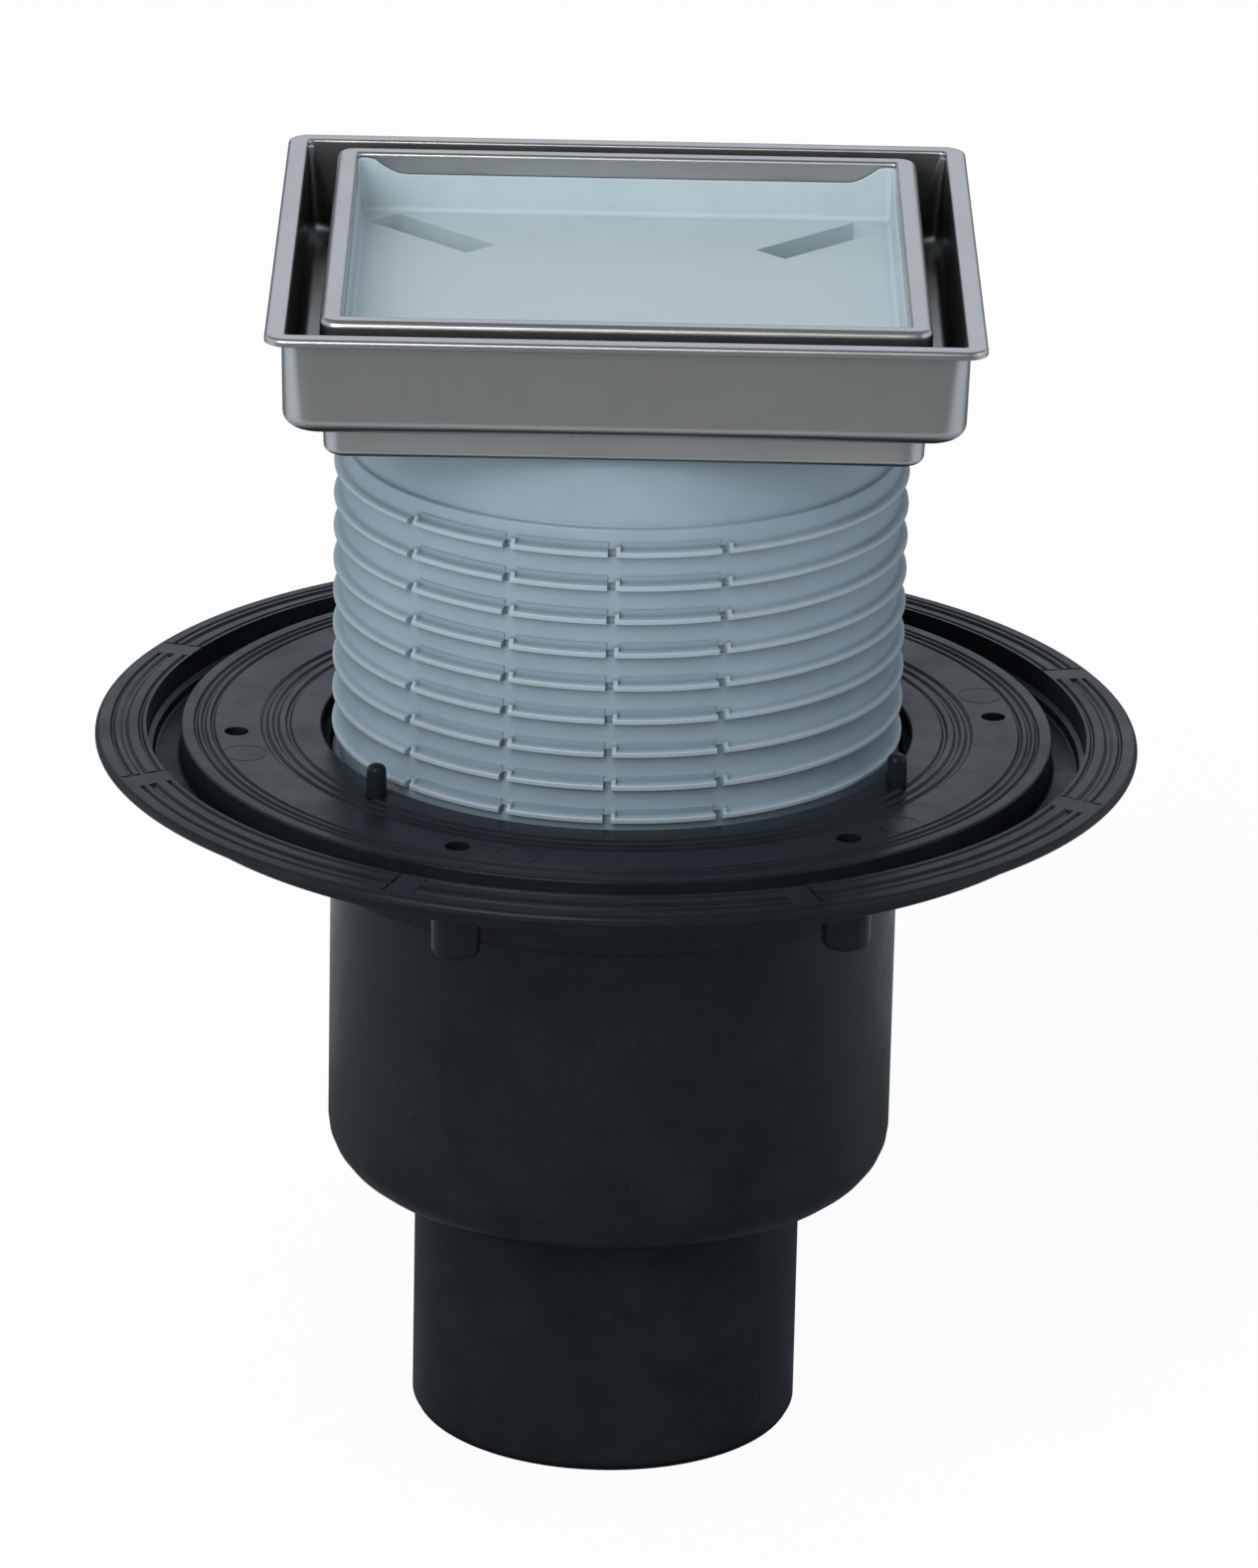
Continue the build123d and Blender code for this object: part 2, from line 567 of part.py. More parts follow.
def tray_rim():
    """Stainless edge of the tray: outer skirt, rounded top and four inner tabs."""
    skirt_bottom = TRAY_TOP_Z - TRAY_SKIRT
    rim = square_block(TRAY_HALF, TRAY_CORNER, skirt_bottom, TRAY_TOP_Z)
    rim = fillet(rim.faces().sort_by(Axis.Z)[-1].edges(), TRAY_RIM_ROUND)
    rim -= square_block(TRAY_HALF - SHEET, TRAY_CORNER - SHEET, skirt_bottom, TRAY_PLATE_UNDER_Z)
    rim -= square_block(TRAY_MOUTH_HALF, TRAY_MOUTH_CORNER, skirt_bottom, TRAY_TOP_Z + 1)
    tab = side_slab(tab_outline(TAB_BOTTOM_Z, TAB_HALF_LENGTH), TRAY_MOUTH_HALF + SHEET, TRAY_MOUTH_HALF)
    rim += quarter_turns(tab)
    return rim


def channel_block(half_width, inner_end, outer_end, bottom, top):
    """Block along one diagonal between two distances from the middle."""
    length = outer_end - inner_end
    middle = (inner_end + outer_end) / 2
    return block(length, 2 * half_width, bottom, top, middle)


def diagonals(shape):
    """The shape on all four diagonals."""
    return [Rot(0, 0, 45 + 90 * k) * shape for k in range(4)]


def tray_insert():
    """Grey tray with corner ears, diagonal channels as feet and locating webs."""
    wall_top = TRAY_PLATE_UNDER_Z - TRAY_FIT
    outer_corner = TRAY_CORNER - SHEET
    insert = square_block(INSERT_HALF, outer_corner, INSERT_BOTTOM_Z, wall_top)
    insert = fillet(insert.faces().sort_by(Axis.Z)[0].edges(), INSERT_BOTTOM_ROUND)
    hollow = square_block(INSERT_INNER_HALF, INSERT_INNER_CORNER, INSERT_FLOOR_Z, wall_top + 1)
    hollow = fillet(hollow.faces().sort_by(Axis.Z)[0].edges(), INSERT_FLOOR_ROUND)
    insert -= hollow
    room = tab_outline(TAB_BOTTOM_Z - TRAY_FIT, TAB_HALF_LENGTH + TRAY_FIT)
    slab = side_slab(room, TRAY_MOUTH_HALF + SHEET + TRAY_FIT, TRAY_MOUTH_HALF - INSERT_INNER_CORNER)
    insert -= quarter_turns(slab)
    foot_half = CHANNEL_WIDTH / 2 + CHANNEL_WALL
    foot_inner = CHANNEL_INNER_END - CHANNEL_WALL
    foot_outer = CHANNEL_OUTER_END + CHANNEL_WALL
    foot_top = INSERT_FLOOR_Z - INSERT_FLOOR / 2
    foot = channel_block(foot_half, foot_inner, foot_outer, CLAMP_TOP_Z, foot_top)
    step_half = STEP_BOTTOM_HALF - SHEET
    step_corner = STEP_CORNER - SHEET
    corner_reach = step_half * sqrt(2) - step_corner * (sqrt(2) - 1)
    web_end = corner_reach - WEB_CLEARANCE
    web = channel_block(WEB_THICKNESS / 2, foot_outer - CHANNEL_WALL / 2, web_end, CLAMP_TOP_Z, foot_top)
    insert += diagonals(foot)
    insert += diagonals(web)
    slot_floor = CLAMP_TOP_Z + CHANNEL_WALL
    slot_top = INSERT_FLOOR_Z + 1
    slot = channel_block(CHANNEL_WIDTH / 2, CHANNEL_INNER_END, CHANNEL_OUTER_END, slot_floor, slot_top)
    insert -= diagonals(slot)
    return insert


def strainer_holes(floor_radius, bottom, top):
    """Cutters for rings of holes in the basket's floor, from its edge inwards."""
    hole = rod(STRAINER_HOLE_RADIUS, bottom - 1, top + 1)
    radius = floor_radius - STRAINER_HOLE_MARGIN
    holes = []
    while radius > STRAINER_KNOB_RADIUS + 2 * STRAINER_HOLE_RADIUS:
        count = round(2 * pi * radius / STRAINER_HOLE_PITCH)
        holes += [place * hole for place in around(count, radius)]
        radius -= STRAINER_RING_PITCH
    return holes


def hair_strainer():
    """Round basket with a pierced floor and a knob, hung on the clamp ring's ledge."""
    top = STRAINER_SEAT_Z + STRAINER_FLANGE
    flange_radius = CLAMP_BORE - STRAINER_FIT
    wall_radius = CLAMP_LEDGE_BORE - STRAINER_INSET
    floor_radius = wall_radius - STRAINER_TAPER
    inner_floor = floor_radius - STRAINER_WALL
    floor = top - STRAINER_DEPTH
    floor_top = floor + STRAINER_WALL
    basket = spun([
        (0, floor),
        (floor_radius, floor),
        (wall_radius, STRAINER_SEAT_Z),
        (flange_radius, STRAINER_SEAT_Z),
        (flange_radius, top),
        (wall_radius - STRAINER_WALL, top),
        (inner_floor, floor_top),
        (0, floor_top),
    ])
    basket -= strainer_holes(inner_floor, floor, floor_top)
    knob_top = floor + STRAINER_KNOB_HEIGHT
    knob = [
        (0, floor),
        (STRAINER_KNOB_RADIUS, floor),
        (STRAINER_KNOB_RADIUS, knob_top, STRAINER_KNOB_RADIUS * 0.6),
        (0, knob_top),
    ]
    return basket + spun(knob)


def cord_height():
    """Height of the rubber ring on the standpipe's plug."""
    return POT_FLOOR_Z - PLUG_LENGTH / 2


def trap_standpipe():
    """Overflow pipe with a plate on the pot's floor and a plug in the spigot's bore."""
    plug_radius = SPIGOT_BORE - PLUG_CLEARANCE
    plug_bore = plug_radius - PLUG_WALL
    plug_bottom = POT_FLOOR_Z - PLUG_LENGTH
    plate_top = POT_FLOOR_Z + PLATE_THICKNESS
    pipe_bore = PIPE_RADIUS - PIPE_WALL
    pipe = spun([
        (plug_bore, plug_bottom),
        (plug_radius, plug_bottom),
        (plug_radius, POT_FLOOR_Z),
        (PLATE_RADIUS, POT_FLOOR_Z),
        (PLATE_RADIUS, plate_top),
        (PIPE_RADIUS, plate_top),
        (PIPE_RADIUS, PIPE_TOP_Z),
        (pipe_bore, PIPE_TOP_Z),
        (pipe_bore, POT_FLOOR_Z),
        (plug_bore, POT_FLOOR_Z - PLATE_THICKNESS),
    ])
    z = cord_height()
    depth = 2 * CORD_RADIUS - PLUG_CLEARANCE
    pipe -= tube(plug_radius + 1, plug_radius - depth, z - CORD_RADIUS, z + CORD_RADIUS)
    return pipe


def standpipe_seal():
    """Rubber ring in the plug's groove."""
    outer = SPIGOT_BORE - CORD_SQUEEZE
    path_radius = outer - CORD_RADIUS
    section = Plane.XZ * Pos(path_radius, cord_height()) * Circle(CORD_RADIUS - CORD_SQUEEZE)
    return revolve(section, Axis.Z)


def bell_grip():
    """Bow handle on the bell's top."""
    top = BELL_TOP_Z + GRIP_HEIGHT
    bottom = BELL_TOP_Z - BELL_WALL / 2
    bow = block(2 * GRIP_HALF_WIDTH, GRIP_DEPTH, bottom, top)
    upper = bow.edges().filter_by(Axis.Y).group_by(Axis.Z)[-1]
    bow = fillet(upper, GRIP_BAR * 1.5)
    inside = 2 * (GRIP_HALF_WIDTH - GRIP_BAR)
    finger = block(inside, GRIP_DEPTH + 2, BELL_TOP_Z, top - GRIP_BAR)
    finger = fillet(finger.edges().filter_by(Axis.Y).group_by(Axis.Z)[-1], GRIP_BAR * 0.7)
    return bow - finger


def trap_bell():
    """Bell that stands on the pipe's top by inner fins and dips into the water around it."""
    inner = BELL_RADIUS - BELL_WALL
    under = BELL_TOP_Z - BELL_WALL
    bell = spun([
        (inner, BELL_RIM_Z),
        (BELL_RADIUS, BELL_RIM_Z),
        (BELL_RADIUS, BELL_TOP_Z, BELL_ROUND),
        (0, BELL_TOP_Z),
        (0, under),
        (inner, under, BELL_ROUND - BELL_WALL),
    ])
    fin_start = PIPE_RADIUS - PIPE_WALL * 2
    fin_length = inner + BELL_WALL / 2 - fin_start
    fin_top = under + BELL_WALL / 2
    fin = block(fin_length, BELL_FIN_THICKNESS, PIPE_TOP_Z, fin_top, fin_start + fin_length / 2)
    bell += [Rot(0, 0, 45 + 360 * k / BELL_FINS) * fin for k in range(BELL_FINS)]
    return bell + bell_grip()


PARTS = {
    "drain_body": drain_body,
    "lip_seal": lip_seal,
    "trap_standpipe": trap_standpipe,
    "standpipe_seal": standpipe_seal,
    "trap_bell": trap_bell,
    "extension_collar": extension_collar,
    "frame_gasket": frame_gasket,
    "steel_frame": steel_frame,
    "frame_clamp_ring": frame_clamp_ring,
    "clamp_ring_screws": clamp_ring_screws,
    "hair_strainer": hair_strainer,
    "tray_rim": tray_rim,
    "tray_insert": tray_insert,
}

os.makedirs("parts", exist_ok=True)
for name, make in PARTS.items():
    made = make()
    solids = ShapeList(made).solids() if isinstance(made, list) else made.solids()
    shape = solids[0] if len(solids) == 1 else Compound(children=list(solids))
    export_step(shape, f"parts/{name}.step")
    print(name, len(solids), "solids", round(sum(s.volume for s in solids) / 1000, 2), "cm3")
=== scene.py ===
"""Dressed model of a floor drain: moulded body, ribbed collar, steel frame and tile tray.

Lengths inside the functions are millimetres and become metres when a mesh is made.
The frame's sides run along X and Y, the front faces -Y and Z is up.
"""

import math
from types import SimpleNamespace

import bmesh
import bpy
from mathutils import Matrix, Vector


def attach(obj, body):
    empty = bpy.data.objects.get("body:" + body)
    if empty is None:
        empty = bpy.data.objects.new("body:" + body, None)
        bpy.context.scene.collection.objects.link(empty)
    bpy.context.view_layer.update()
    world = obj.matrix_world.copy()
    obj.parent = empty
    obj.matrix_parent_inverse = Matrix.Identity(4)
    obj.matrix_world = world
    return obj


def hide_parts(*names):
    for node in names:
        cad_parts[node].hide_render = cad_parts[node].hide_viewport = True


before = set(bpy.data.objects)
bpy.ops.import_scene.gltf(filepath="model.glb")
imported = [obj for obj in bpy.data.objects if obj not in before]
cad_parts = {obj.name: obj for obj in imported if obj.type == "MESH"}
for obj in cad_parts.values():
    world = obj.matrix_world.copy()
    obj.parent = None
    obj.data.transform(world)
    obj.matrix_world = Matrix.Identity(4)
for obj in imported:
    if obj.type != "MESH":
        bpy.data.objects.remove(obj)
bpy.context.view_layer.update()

bl_info = {
    "name": "Floor drain",
    "version": (1, 0, 0),
    "blender": (4, 5, 0),
    "location": "View3D > Sidebar > Drain",
    "description": "Builds the visible pieces of a floor drain on its fixed frame",
    "category": "Add Mesh",
}

MM = 0.001
TURN = 2 * math.pi


def size(name, description, length_mm):
    """Length property with its default in millimetres."""
    return bpy.props.FloatProperty(
        name=name, description=description, default=length_mm * MM, unit="LENGTH", precision=4
    )


def colour(name, description, value):
    """Linear colour property."""
    return bpy.props.FloatVectorProperty(
        name=name, description=description, default=value, subtype="COLOR", size=3, min=0, max=1
    )


class DrainBodySizes(bpy.types.PropertyGroup):
    """Sizes of the black body."""

    spigot_radius: size("Spigot radius", "Outside of the outlet spigot", 37.5)
    spigot_bore: size("Spigot bore", "Inside of the outlet spigot", 34.9)
    pot_radius: size("Pot radius", "Outside of the pot", 54.6)
    pot_bore: size("Pot bore", "Inside of the pot", 52.1)
    pot_bottom: size("Pot bottom", "Height of the pot's underside", 51.0)
    socket_radius: size("Socket radius", "Outside of the socket", 62.0)
    socket_bore: size("Socket bore", "Inside of the socket", 58.6)
    socket_bottom: size("Socket bottom", "Height of the socket's lower end", 116.8)
    flange_radius: size("Flange radius", "Outside of the flange", 99.88)
    flange_top: size("Flange top", "Height of the flange's face", 140.4)
    flange_thickness: size("Flange thickness", "Thickness of the flange", 2.4)
    trough_outer: size("Trough outer radius", "Outer wall of the trough", 90.1)
    trough_inner: size("Trough inner radius", "Inner wall of the trough", 83.5)
    trough_depth: size("Trough depth", "Depth of the trough", 6.6)
    mouth_radius: size("Mouth radius", "Opening that takes the collar", 56.4)
    groove_depth: size("Groove depth", "Depth of the ring grooves", 0.45)
    hole_circle: size("Hole circle", "Radius of the screw holes' circle", 73.0)
    hole_radius: size("Hole radius", "Radius of a screw hole", 2.35)
    pin_radius: size("Pin radius", "Radius of a pin", 1.9)
    pin_height: size("Pin height", "Height of a pin over the flange", 6.2)


class DrainCollarSizes(bpy.types.PropertyGroup):
    """Sizes of the ribbed collar."""

    rib_radius: size("Rib radius", "Outside of the ribs", 54.6)
    barrel_radius: size("Barrel radius", "Wall between the ribs", 52.95)
    neck_radius: size("Neck radius", "Smooth neck", 51.6)
    neck_bottom: size("Neck bottom", "Height where the barrel starts", 198.0)
    top: size("Top", "Height of the collar's top", 210.6)
    bottom: size("Bottom", "Height of the collar's lower end", 121.3)
    bore: size("Bore", "Inside of the barrel", 50.5)
    first_rib: size("First rib", "Height of the topmost rib", 193.5)
    rib_pitch: size("Rib pitch", "Distance from rib to rib", 6.54)
    notch_width: size("Notch width", "Width of a notch in a rib", 1.45)
    rib_count: bpy.props.IntProperty(name="Ribs", description="Number of ribs", default=11, min=1)


class DrainTopSizes(bpy.types.PropertyGroup):
    """Sizes of the steel frame and the tile tray."""

    frame_rim: size("Frame rim", "Half width over the frame's rim", 65.8)
    frame_top: size("Frame top", "Height of the frame's rim", 237.5)
    bowl_top: size("Bowl top", "Half width of the bowl under the rim", 62.8)
    bowl_bottom: size("Bowl bottom", "Half width of the bowl at its bottom", 62.5)
    bowl_floor: size("Bowl floor", "Height of the bowl's underside", 218.2)
    step_top: size("Step top", "Half width of the lower step at its top", 55.4)
    step_bottom: size("Step bottom", "Half width of the lower step at its bottom", 55.1)
    step_floor: size("Step floor", "Height of the step's underside", 211.6)
    hole_radius: size("Floor hole", "Radius of the hole in the frame's floor", 44.5)
    sheet: size("Sheet", "Thickness of the steel sheet", 0.8)
    tray_half: size("Tray", "Half width of the tray", 56.0)
    tray_top: size("Tray top", "Height of the tray's rim", 238.0)
    tray_mouth: size("Tray mouth", "Half width of the tray's opening", 52.0)
    tray_skirt: size("Tray skirt", "Height of the tray's outer skirt", 10.0)
    tab_height: size("Tab height", "Height of the inner tabs with the rim", 4.0)
    insert_half: size("Insert", "Half width of the plastic insert", 55.0)
    insert_wall: size("Insert wall", "Half width inside the insert's wall", 51.5)
    insert_floor: size("Insert floor", "Height of the insert's floor", 226.5)
    slot_width: size("Slot width", "Width of a diagonal slot", 7.7)
    slot_inner: size("Slot inner end", "Distance of a slot's inner end from the middle", 39.2)
    slot_outer: size("Slot outer end", "Distance of a slot's outer end from the middle", 66.4)


class DrainColours(bpy.types.PropertyGroup):
    """Colours of the materials."""

    black_plastic: colour("Black plastic", "Body with flange and pot", (0.0094, 0.0116, 0.0146))
    grey_plastic: colour("Grey plastic", "Ribbed collar", (0.225, 0.302, 0.358))
    insert_plastic: colour("Insert plastic", "Tray insert and clamp parts", (0.435, 0.525, 0.565))
    stainless: colour("Stainless", "Drawn steel sheet", (0.46, 0.455, 0.45))
    white_plastic: colour("White plastic", "Trap parts", (0.74, 0.75, 0.75))
    rubber: colour("Rubber", "Seals", (0.014, 0.014, 0.015))


def millimetres(group):
    """All lengths of a property group in millimetres, and its counts as they are."""
    values = {}
    for name in type(group).__annotations__:
        value = getattr(group, name)
        values[name] = value if isinstance(value, int) else value / MM
    return SimpleNamespace(**values)


# Outlines and meshes


# Metres within which points of a mesh are one, and millimetres within which heights are the same
MERGE_DISTANCE = 1e-7
SAME_HEIGHT = 1e-3

# Angles between faces from which an edge is kept sharp
CREASE_DEG = 32
SHEET_CREASE_DEG = 40
INSERT_CREASE_DEG = 35


def rounded(corners, steps=4):
    """Closed outline from (a, b, radius) corners, with an arc for each corner that has a radius."""
    outline = []
    for index, (a, b, radius) in enumerate(corners):
        here = Vector((a, b))
        if radius <= 0:
            outline.append((a, b))
            continue
        to_last = (Vector(corners[index - 1][:2]) - here).normalized()
        to_next = (Vector(corners[(index + 1) % len(corners)][:2]) - here).normalized()
        half_angle = to_last.angle(to_next) / 2
        centre = here + (to_last + to_next).normalized() * radius / math.sin(half_angle)
        start = here + to_last * radius / math.tan(half_angle) - centre
        end = here + to_next * radius / math.tan(half_angle) - centre
        first = math.atan2(start.y, start.x)
        sweep = (math.atan2(end.y, end.x) - first + math.pi) % TURN - math.pi
        for k in range(steps + 1):
            angle = first + sweep * k / steps
            outline.append((centre.x + radius * math.cos(angle), centre.y + radius * math.sin(angle)))
    return outline


def circle_ring(radius, z, angles):
    """Ring of points on a circle at the given angles in radians."""
    return [(radius * math.cos(a), radius * math.sin(a), z) for a in angles]


def square_ring(half, corner, z, straight=40, arc=10):
    """Ring of points on a square with rounded corners, starting at the front left."""
    reach = half - corner
    side = [(reach * (2 * k / straight - 1), -half) for k in range(straight)]
    for k in range(arc):
        angle = math.pi / 2 * (k / arc - 1)
        side.append((reach + corner * math.cos(angle), -reach + corner * math.sin(angle)))
    points = []
    for quarter in range(4):
        c, s = ((1, 0), (0, 1), (-1, 0), (0, -1))[quarter]
        points += [(x * c - y * s, x * s + y * c, z) for x, y in side]
    return points


def even_angles(count):
    """Evenly spaced angles round the circle, in radians."""
    return [TURN * k / count for k in range(count)]


def skin(name, rings, closed=True):
    """Mesh over rings of points. An open row of rings gets a flat cap at both ends."""
    made = bmesh.new()
    rows = [[made.verts.new([c * MM for c in point]) for point in ring] for ring in rings]
    count = len(rows[0])
    follow = rows[1:] + rows[:1] if closed else rows[1:]
    for low, high in zip(rows, follow):
        for k in range(count):
            n = (k + 1) % count
            made.faces.new((low[k], low[n], high[n], high[k]))
    if not closed:
        made.faces.new(rows[0][::-1])
        made.faces.new(rows[-1])
    bmesh.ops.remove_doubles(made, verts=made.verts, dist=MERGE_DISTANCE)
    bmesh.ops.dissolve_degenerate(made, dist=MERGE_DISTANCE, edges=made.edges)
    bmesh.ops.recalc_face_normals(made, faces=made.faces)
    mesh = bpy.data.meshes.new(name)
    made.to_mesh(mesh)
    made.free()
    piece = bpy.data.objects.new(name, mesh)
    bpy.context.scene.collection.objects.link(piece)
    return piece


def joined(name, pieces):
    """One object from several, which are used up."""
    made = bmesh.new()
    for piece in pieces:
        made.from_mesh(piece.data)
        bpy.data.objects.remove(piece)
    mesh = bpy.data.meshes.new(name)
    made.to_mesh(mesh)
    made.free()
    whole = bpy.data.objects.new(name, mesh)
    bpy.context.scene.collection.objects.link(whole)
    return whole


def placed(piece, x=0.0, y=0.0, turn=0.0):
    """The piece's mesh turned about Z by an angle and moved."""
    move = Matrix.Translation((x * MM, y * MM, 0)) @ Matrix.Rotation(turn, 4, "Z")
    piece.data.transform(move)
    return piece


def on_circle(piece, radius, angle):
    """The piece moved from the axis to a place on a circle, at an angle in radians."""
    return placed(piece, radius * math.cos(angle), radius * math.sin(angle))


def need_faces(piece):
    """Stops the operator with an error if the piece came out empty."""
    if not piece.data.polygons:
        raise RuntimeError("No faces in " + piece.name)


def combined(piece, tool, operation):
    """Joins a tool to the piece or cuts it from the piece, which uses the tool up."""
    change = piece.modifiers.new("change", "BOOLEAN")
    change.operation = operation
    change.solver = "EXACT"
    change.object = tool
    graph = bpy.context.evaluated_depsgraph_get()
    mesh = bpy.data.meshes.new_from_object(piece.evaluated_get(graph))
    piece.modifiers.clear()
    piece.data = mesh
    bpy.data.objects.remove(tool)
    need_faces(piece)


def smooth(piece, limit_degrees):
    """Smooth shading, with edges over the limit kept sharp."""
    made = bmesh.new()
    made.from_mesh(piece.data)
    limit = math.radians(limit_degrees)
    for face in made.faces:
        face.smooth = True
    for edge in made.edges:
        if len(edge.link_faces) == 2:
            edge.smooth = edge.calc_face_angle() < limit
    made.to_mesh(piece.data)
    made.free()


def dress(piece, body, slot, node, limit_degrees=CREASE_DEG):
    """Shading, material, body and slot of a new piece, and the solid that it stands for."""
    need_faces(piece)
    smooth(piece, limit_degrees)
    piece.data.materials.clear()
    piece.data.materials.append(finish(slot))
    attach(piece, body)
    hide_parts(node)


def turned(name, corners, columns=96, steps=4):
    """Turned piece from (radius, height, rounding) corners that don't reach the axis."""
    angles = even_angles(columns)
    return skin(name, [circle_ring(r, z, angles) for r, z in rounded(corners, steps)])


def peg(name, corners, columns=40, steps=4):
    """Turned solid piece: its outline runs from the lower end's edge to the upper end's edge."""
    angles = even_angles(columns)
    outline = rounded([(0, corners[0][1], 0), *corners, (0, corners[-1][1], 0)], steps)[1:-1]
    return skin(name, [circle_ring(r, z, angles) for r, z in outline], closed=False)


# Materials


# Noise runs round 0.5. A range is the part of it that becomes 0 to 1, and scales are per metre.
NOISE_MIDDLE = 0.5
GRAIN_SCALE = 2600.0
MOTTLE_SCALE = 70.0
MOTTLE_RANGE = (0.3, 0.7)
STREAK_SCALE = 240.0
STREAK_STRETCH = (1.0, 1.0, 0.07)
SATIN_SCALE = 1500.0
WAVE_SCALE = 38.0
SHEET_RANGE = (0.12, 0.88)
SCUFF_SCALE = 90.0
SCUFF_STRETCH = (1.0, 0.22, 0.5)
SCUFF_HALF_WIDTH = 0.006
SCUFF_PATCH_SCALE = 45.0
SCUFF_PATCH_RANGE = (0.56, 0.66)
SPECK_SCALE = 240.0
SPECK_EDGE = (0.03, 0.06)
SPECK_THRESHOLD = 0.86
# How open a place is, read from ambient occlusion; the materials paint shade where it is low
OPEN_RANGE = (0.2, 0.8)
OPEN_SAMPLES = 16

# Plastic: reach in millimetres of the painted shade in recesses, how much rougher a recess is, how
# mottle changes the roughness, and how the paler tone of scuffs and specks comes from the colour
PLASTIC_REACH = 6.0
RECESS_DULLING = 0.45
PLASTIC_ROUGH_SPREAD = (-0.07, 0.09)
PALE_SHARE = 0.6
PALE_LIFT = 0.25

# Steel: reach in millimetres of the painted shade in recesses, the tone of that painted shade, and
# how streaks, waves and satin change the tone and the roughness
STEEL_REACH = 12.0
STEEL_PAINTED_SHADE_TONE = 0.10
STREAK_TONES = (0.97, 1.03)
WAVE_SHARE = 0.25
WAVE_TONE = 0.72
WAVE_ROUGH_SPREAD = (-0.01, 0.05)
SATIN_ROUGH_SPREAD = (-0.010, 0.014)

# Colour and values of each plastic slot. Recess is the tone of the painted shade in recesses. A tip is a
# painted highlight on the ribs: the radius where it starts, where it is palest, and how much.
PLASTICS = {
    "black_plastic": ("black_plastic", {
        "rough": 0.27, "grain_mm": 0.010, "mottle": 0.2, "specular": 0.11,
        "specks": 0.04, "scuffs": 0.03, "recess": 0.2,
    }),
    "black_rubber": ("rubber", {
        "rough": 0.62, "grain_mm": 0.02, "mottle": 0.15, "specular": 0.3,
        "specks": 0.1, "scuffs": 0.12, "recess": 0.6,
    }),
    "grey_plastic": ("grey_plastic", {
        "rough": 0.44, "grain_mm": 0.010, "mottle": 0.05, "specular": 0.45,
        "specks": 0.3, "scuffs": 0.12, "recess": 0.8, "tip": (53.6, 54.5, 0.24),
    }),
    "insert_plastic": ("insert_plastic", {
        "rough": 0.42, "grain_mm": 0.010, "mottle": 0.04, "specular": 0.45,
        "specks": 0.3, "scuffs": 0.12, "recess": 0.8,
    }),
    "white_plastic": ("white_plastic", {
        "rough": 0.38, "grain_mm": 0.008, "mottle": 0.03, "specular": 0.5,
        "specks": 0.2, "scuffs": 0.12, "recess": 0.6,
    }),
}
STEEL_ROUGHNESS = {"stainless": 0.27, "steel_screw": 0.24}

# A mix node has a set of sockets for each kind of value. These are its factor and colours.
MIX_COLOUR_INPUTS = (0, 6, 7)
MIX_COLOUR_OUTPUT = 2


def add(tree, kind, inputs=None, **settings):
    """Node with its settings, and its inputs given as values or as sockets to link."""
    made = tree.nodes.new(kind)
    for key, value in settings.items():
        setattr(made, key, value)
    for key, value in (inputs or {}).items():
        if isinstance(value, bpy.types.NodeSocket):
            tree.links.new(value, made.inputs[key])
        else:
            made.inputs[key].default_value = value
    return made


def math_node(tree, operation, first, second=0.0):
    """Result of a sum with one or two values."""
    return add(tree, "ShaderNodeMath", {0: first, 1: second}, operation=operation).outputs[0]


def scaled(tree, value, low, high, to_low=0.0, to_high=1.0):
    """Value moved from one range to another, kept inside it."""
    ranges = {"Value": value, "From Min": low, "From Max": high, "To Min": to_low, "To Max": to_high}
    return add(tree, "ShaderNodeMapRange", ranges).outputs["Result"]


def mixed(tree, factor, first, second):
    """Colour between two colours."""
    made = add(tree, "ShaderNodeMix", data_type="RGBA")
    sockets = [made.inputs[number] for number in MIX_COLOUR_INPUTS]
    for socket, value in zip(sockets, (factor, first, second)):
        if isinstance(value, bpy.types.NodeSocket):
            tree.links.new(value, socket)
        else:
            socket.default_value = value
    return made.outputs[MIX_COLOUR_OUTPUT]


def new_group(name, inputs, outputs):
    """Empty node group with float inputs and outputs, and its two end nodes."""
    tree = bpy.data.node_groups.new(name, "ShaderNodeTree")
    for label, value in inputs:
        made = tree.interface.new_socket(label, in_out="INPUT", socket_type="NodeSocketFloat")
        made.default_value = value
    for label in outputs:
        tree.interface.new_socket(label, in_out="OUTPUT", socket_type="NodeSocketFloat")
    return tree, add(tree, "NodeGroupInput"), add(tree, "NodeGroupOutput")


def stretched_place(tree, x, y, z):
    """Object coordinates scaled along the axes."""
    place = add(tree, "ShaderNodeTexCoord").outputs["Object"]
    return add(tree, "ShaderNodeMapping", {"Vector": place, "Scale": (x, y, z)}).outputs["Vector"]


def moulded_grain():
    """Group: fine surface grain and broad flow mottle of moulded plastic."""
    tree, ins, outs = new_group(
        "Moulded grain",
        [("Grain scale", GRAIN_SCALE), ("Mottle scale", MOTTLE_SCALE)],
        ["Grain", "Mottle"],
    )
    place = add(tree, "ShaderNodeTexCoord").outputs["Object"]
    fine = {"Vector": place, "Scale": ins.outputs["Grain scale"], "Detail": 2.0, "Roughness": 0.6}
    broad = {"Vector": place, "Scale": ins.outputs["Mottle scale"], "Detail": 4.0, "Roughness": 0.65}
    grain = add(tree, "ShaderNodeTexNoise", fine).outputs["Fac"]
    mottle = add(tree, "ShaderNodeTexNoise", broad).outputs["Fac"]
    tree.links.new(grain, outs.inputs["Grain"])
    tree.links.new(scaled(tree, mottle, *MOTTLE_RANGE), outs.inputs["Mottle"])
    return tree


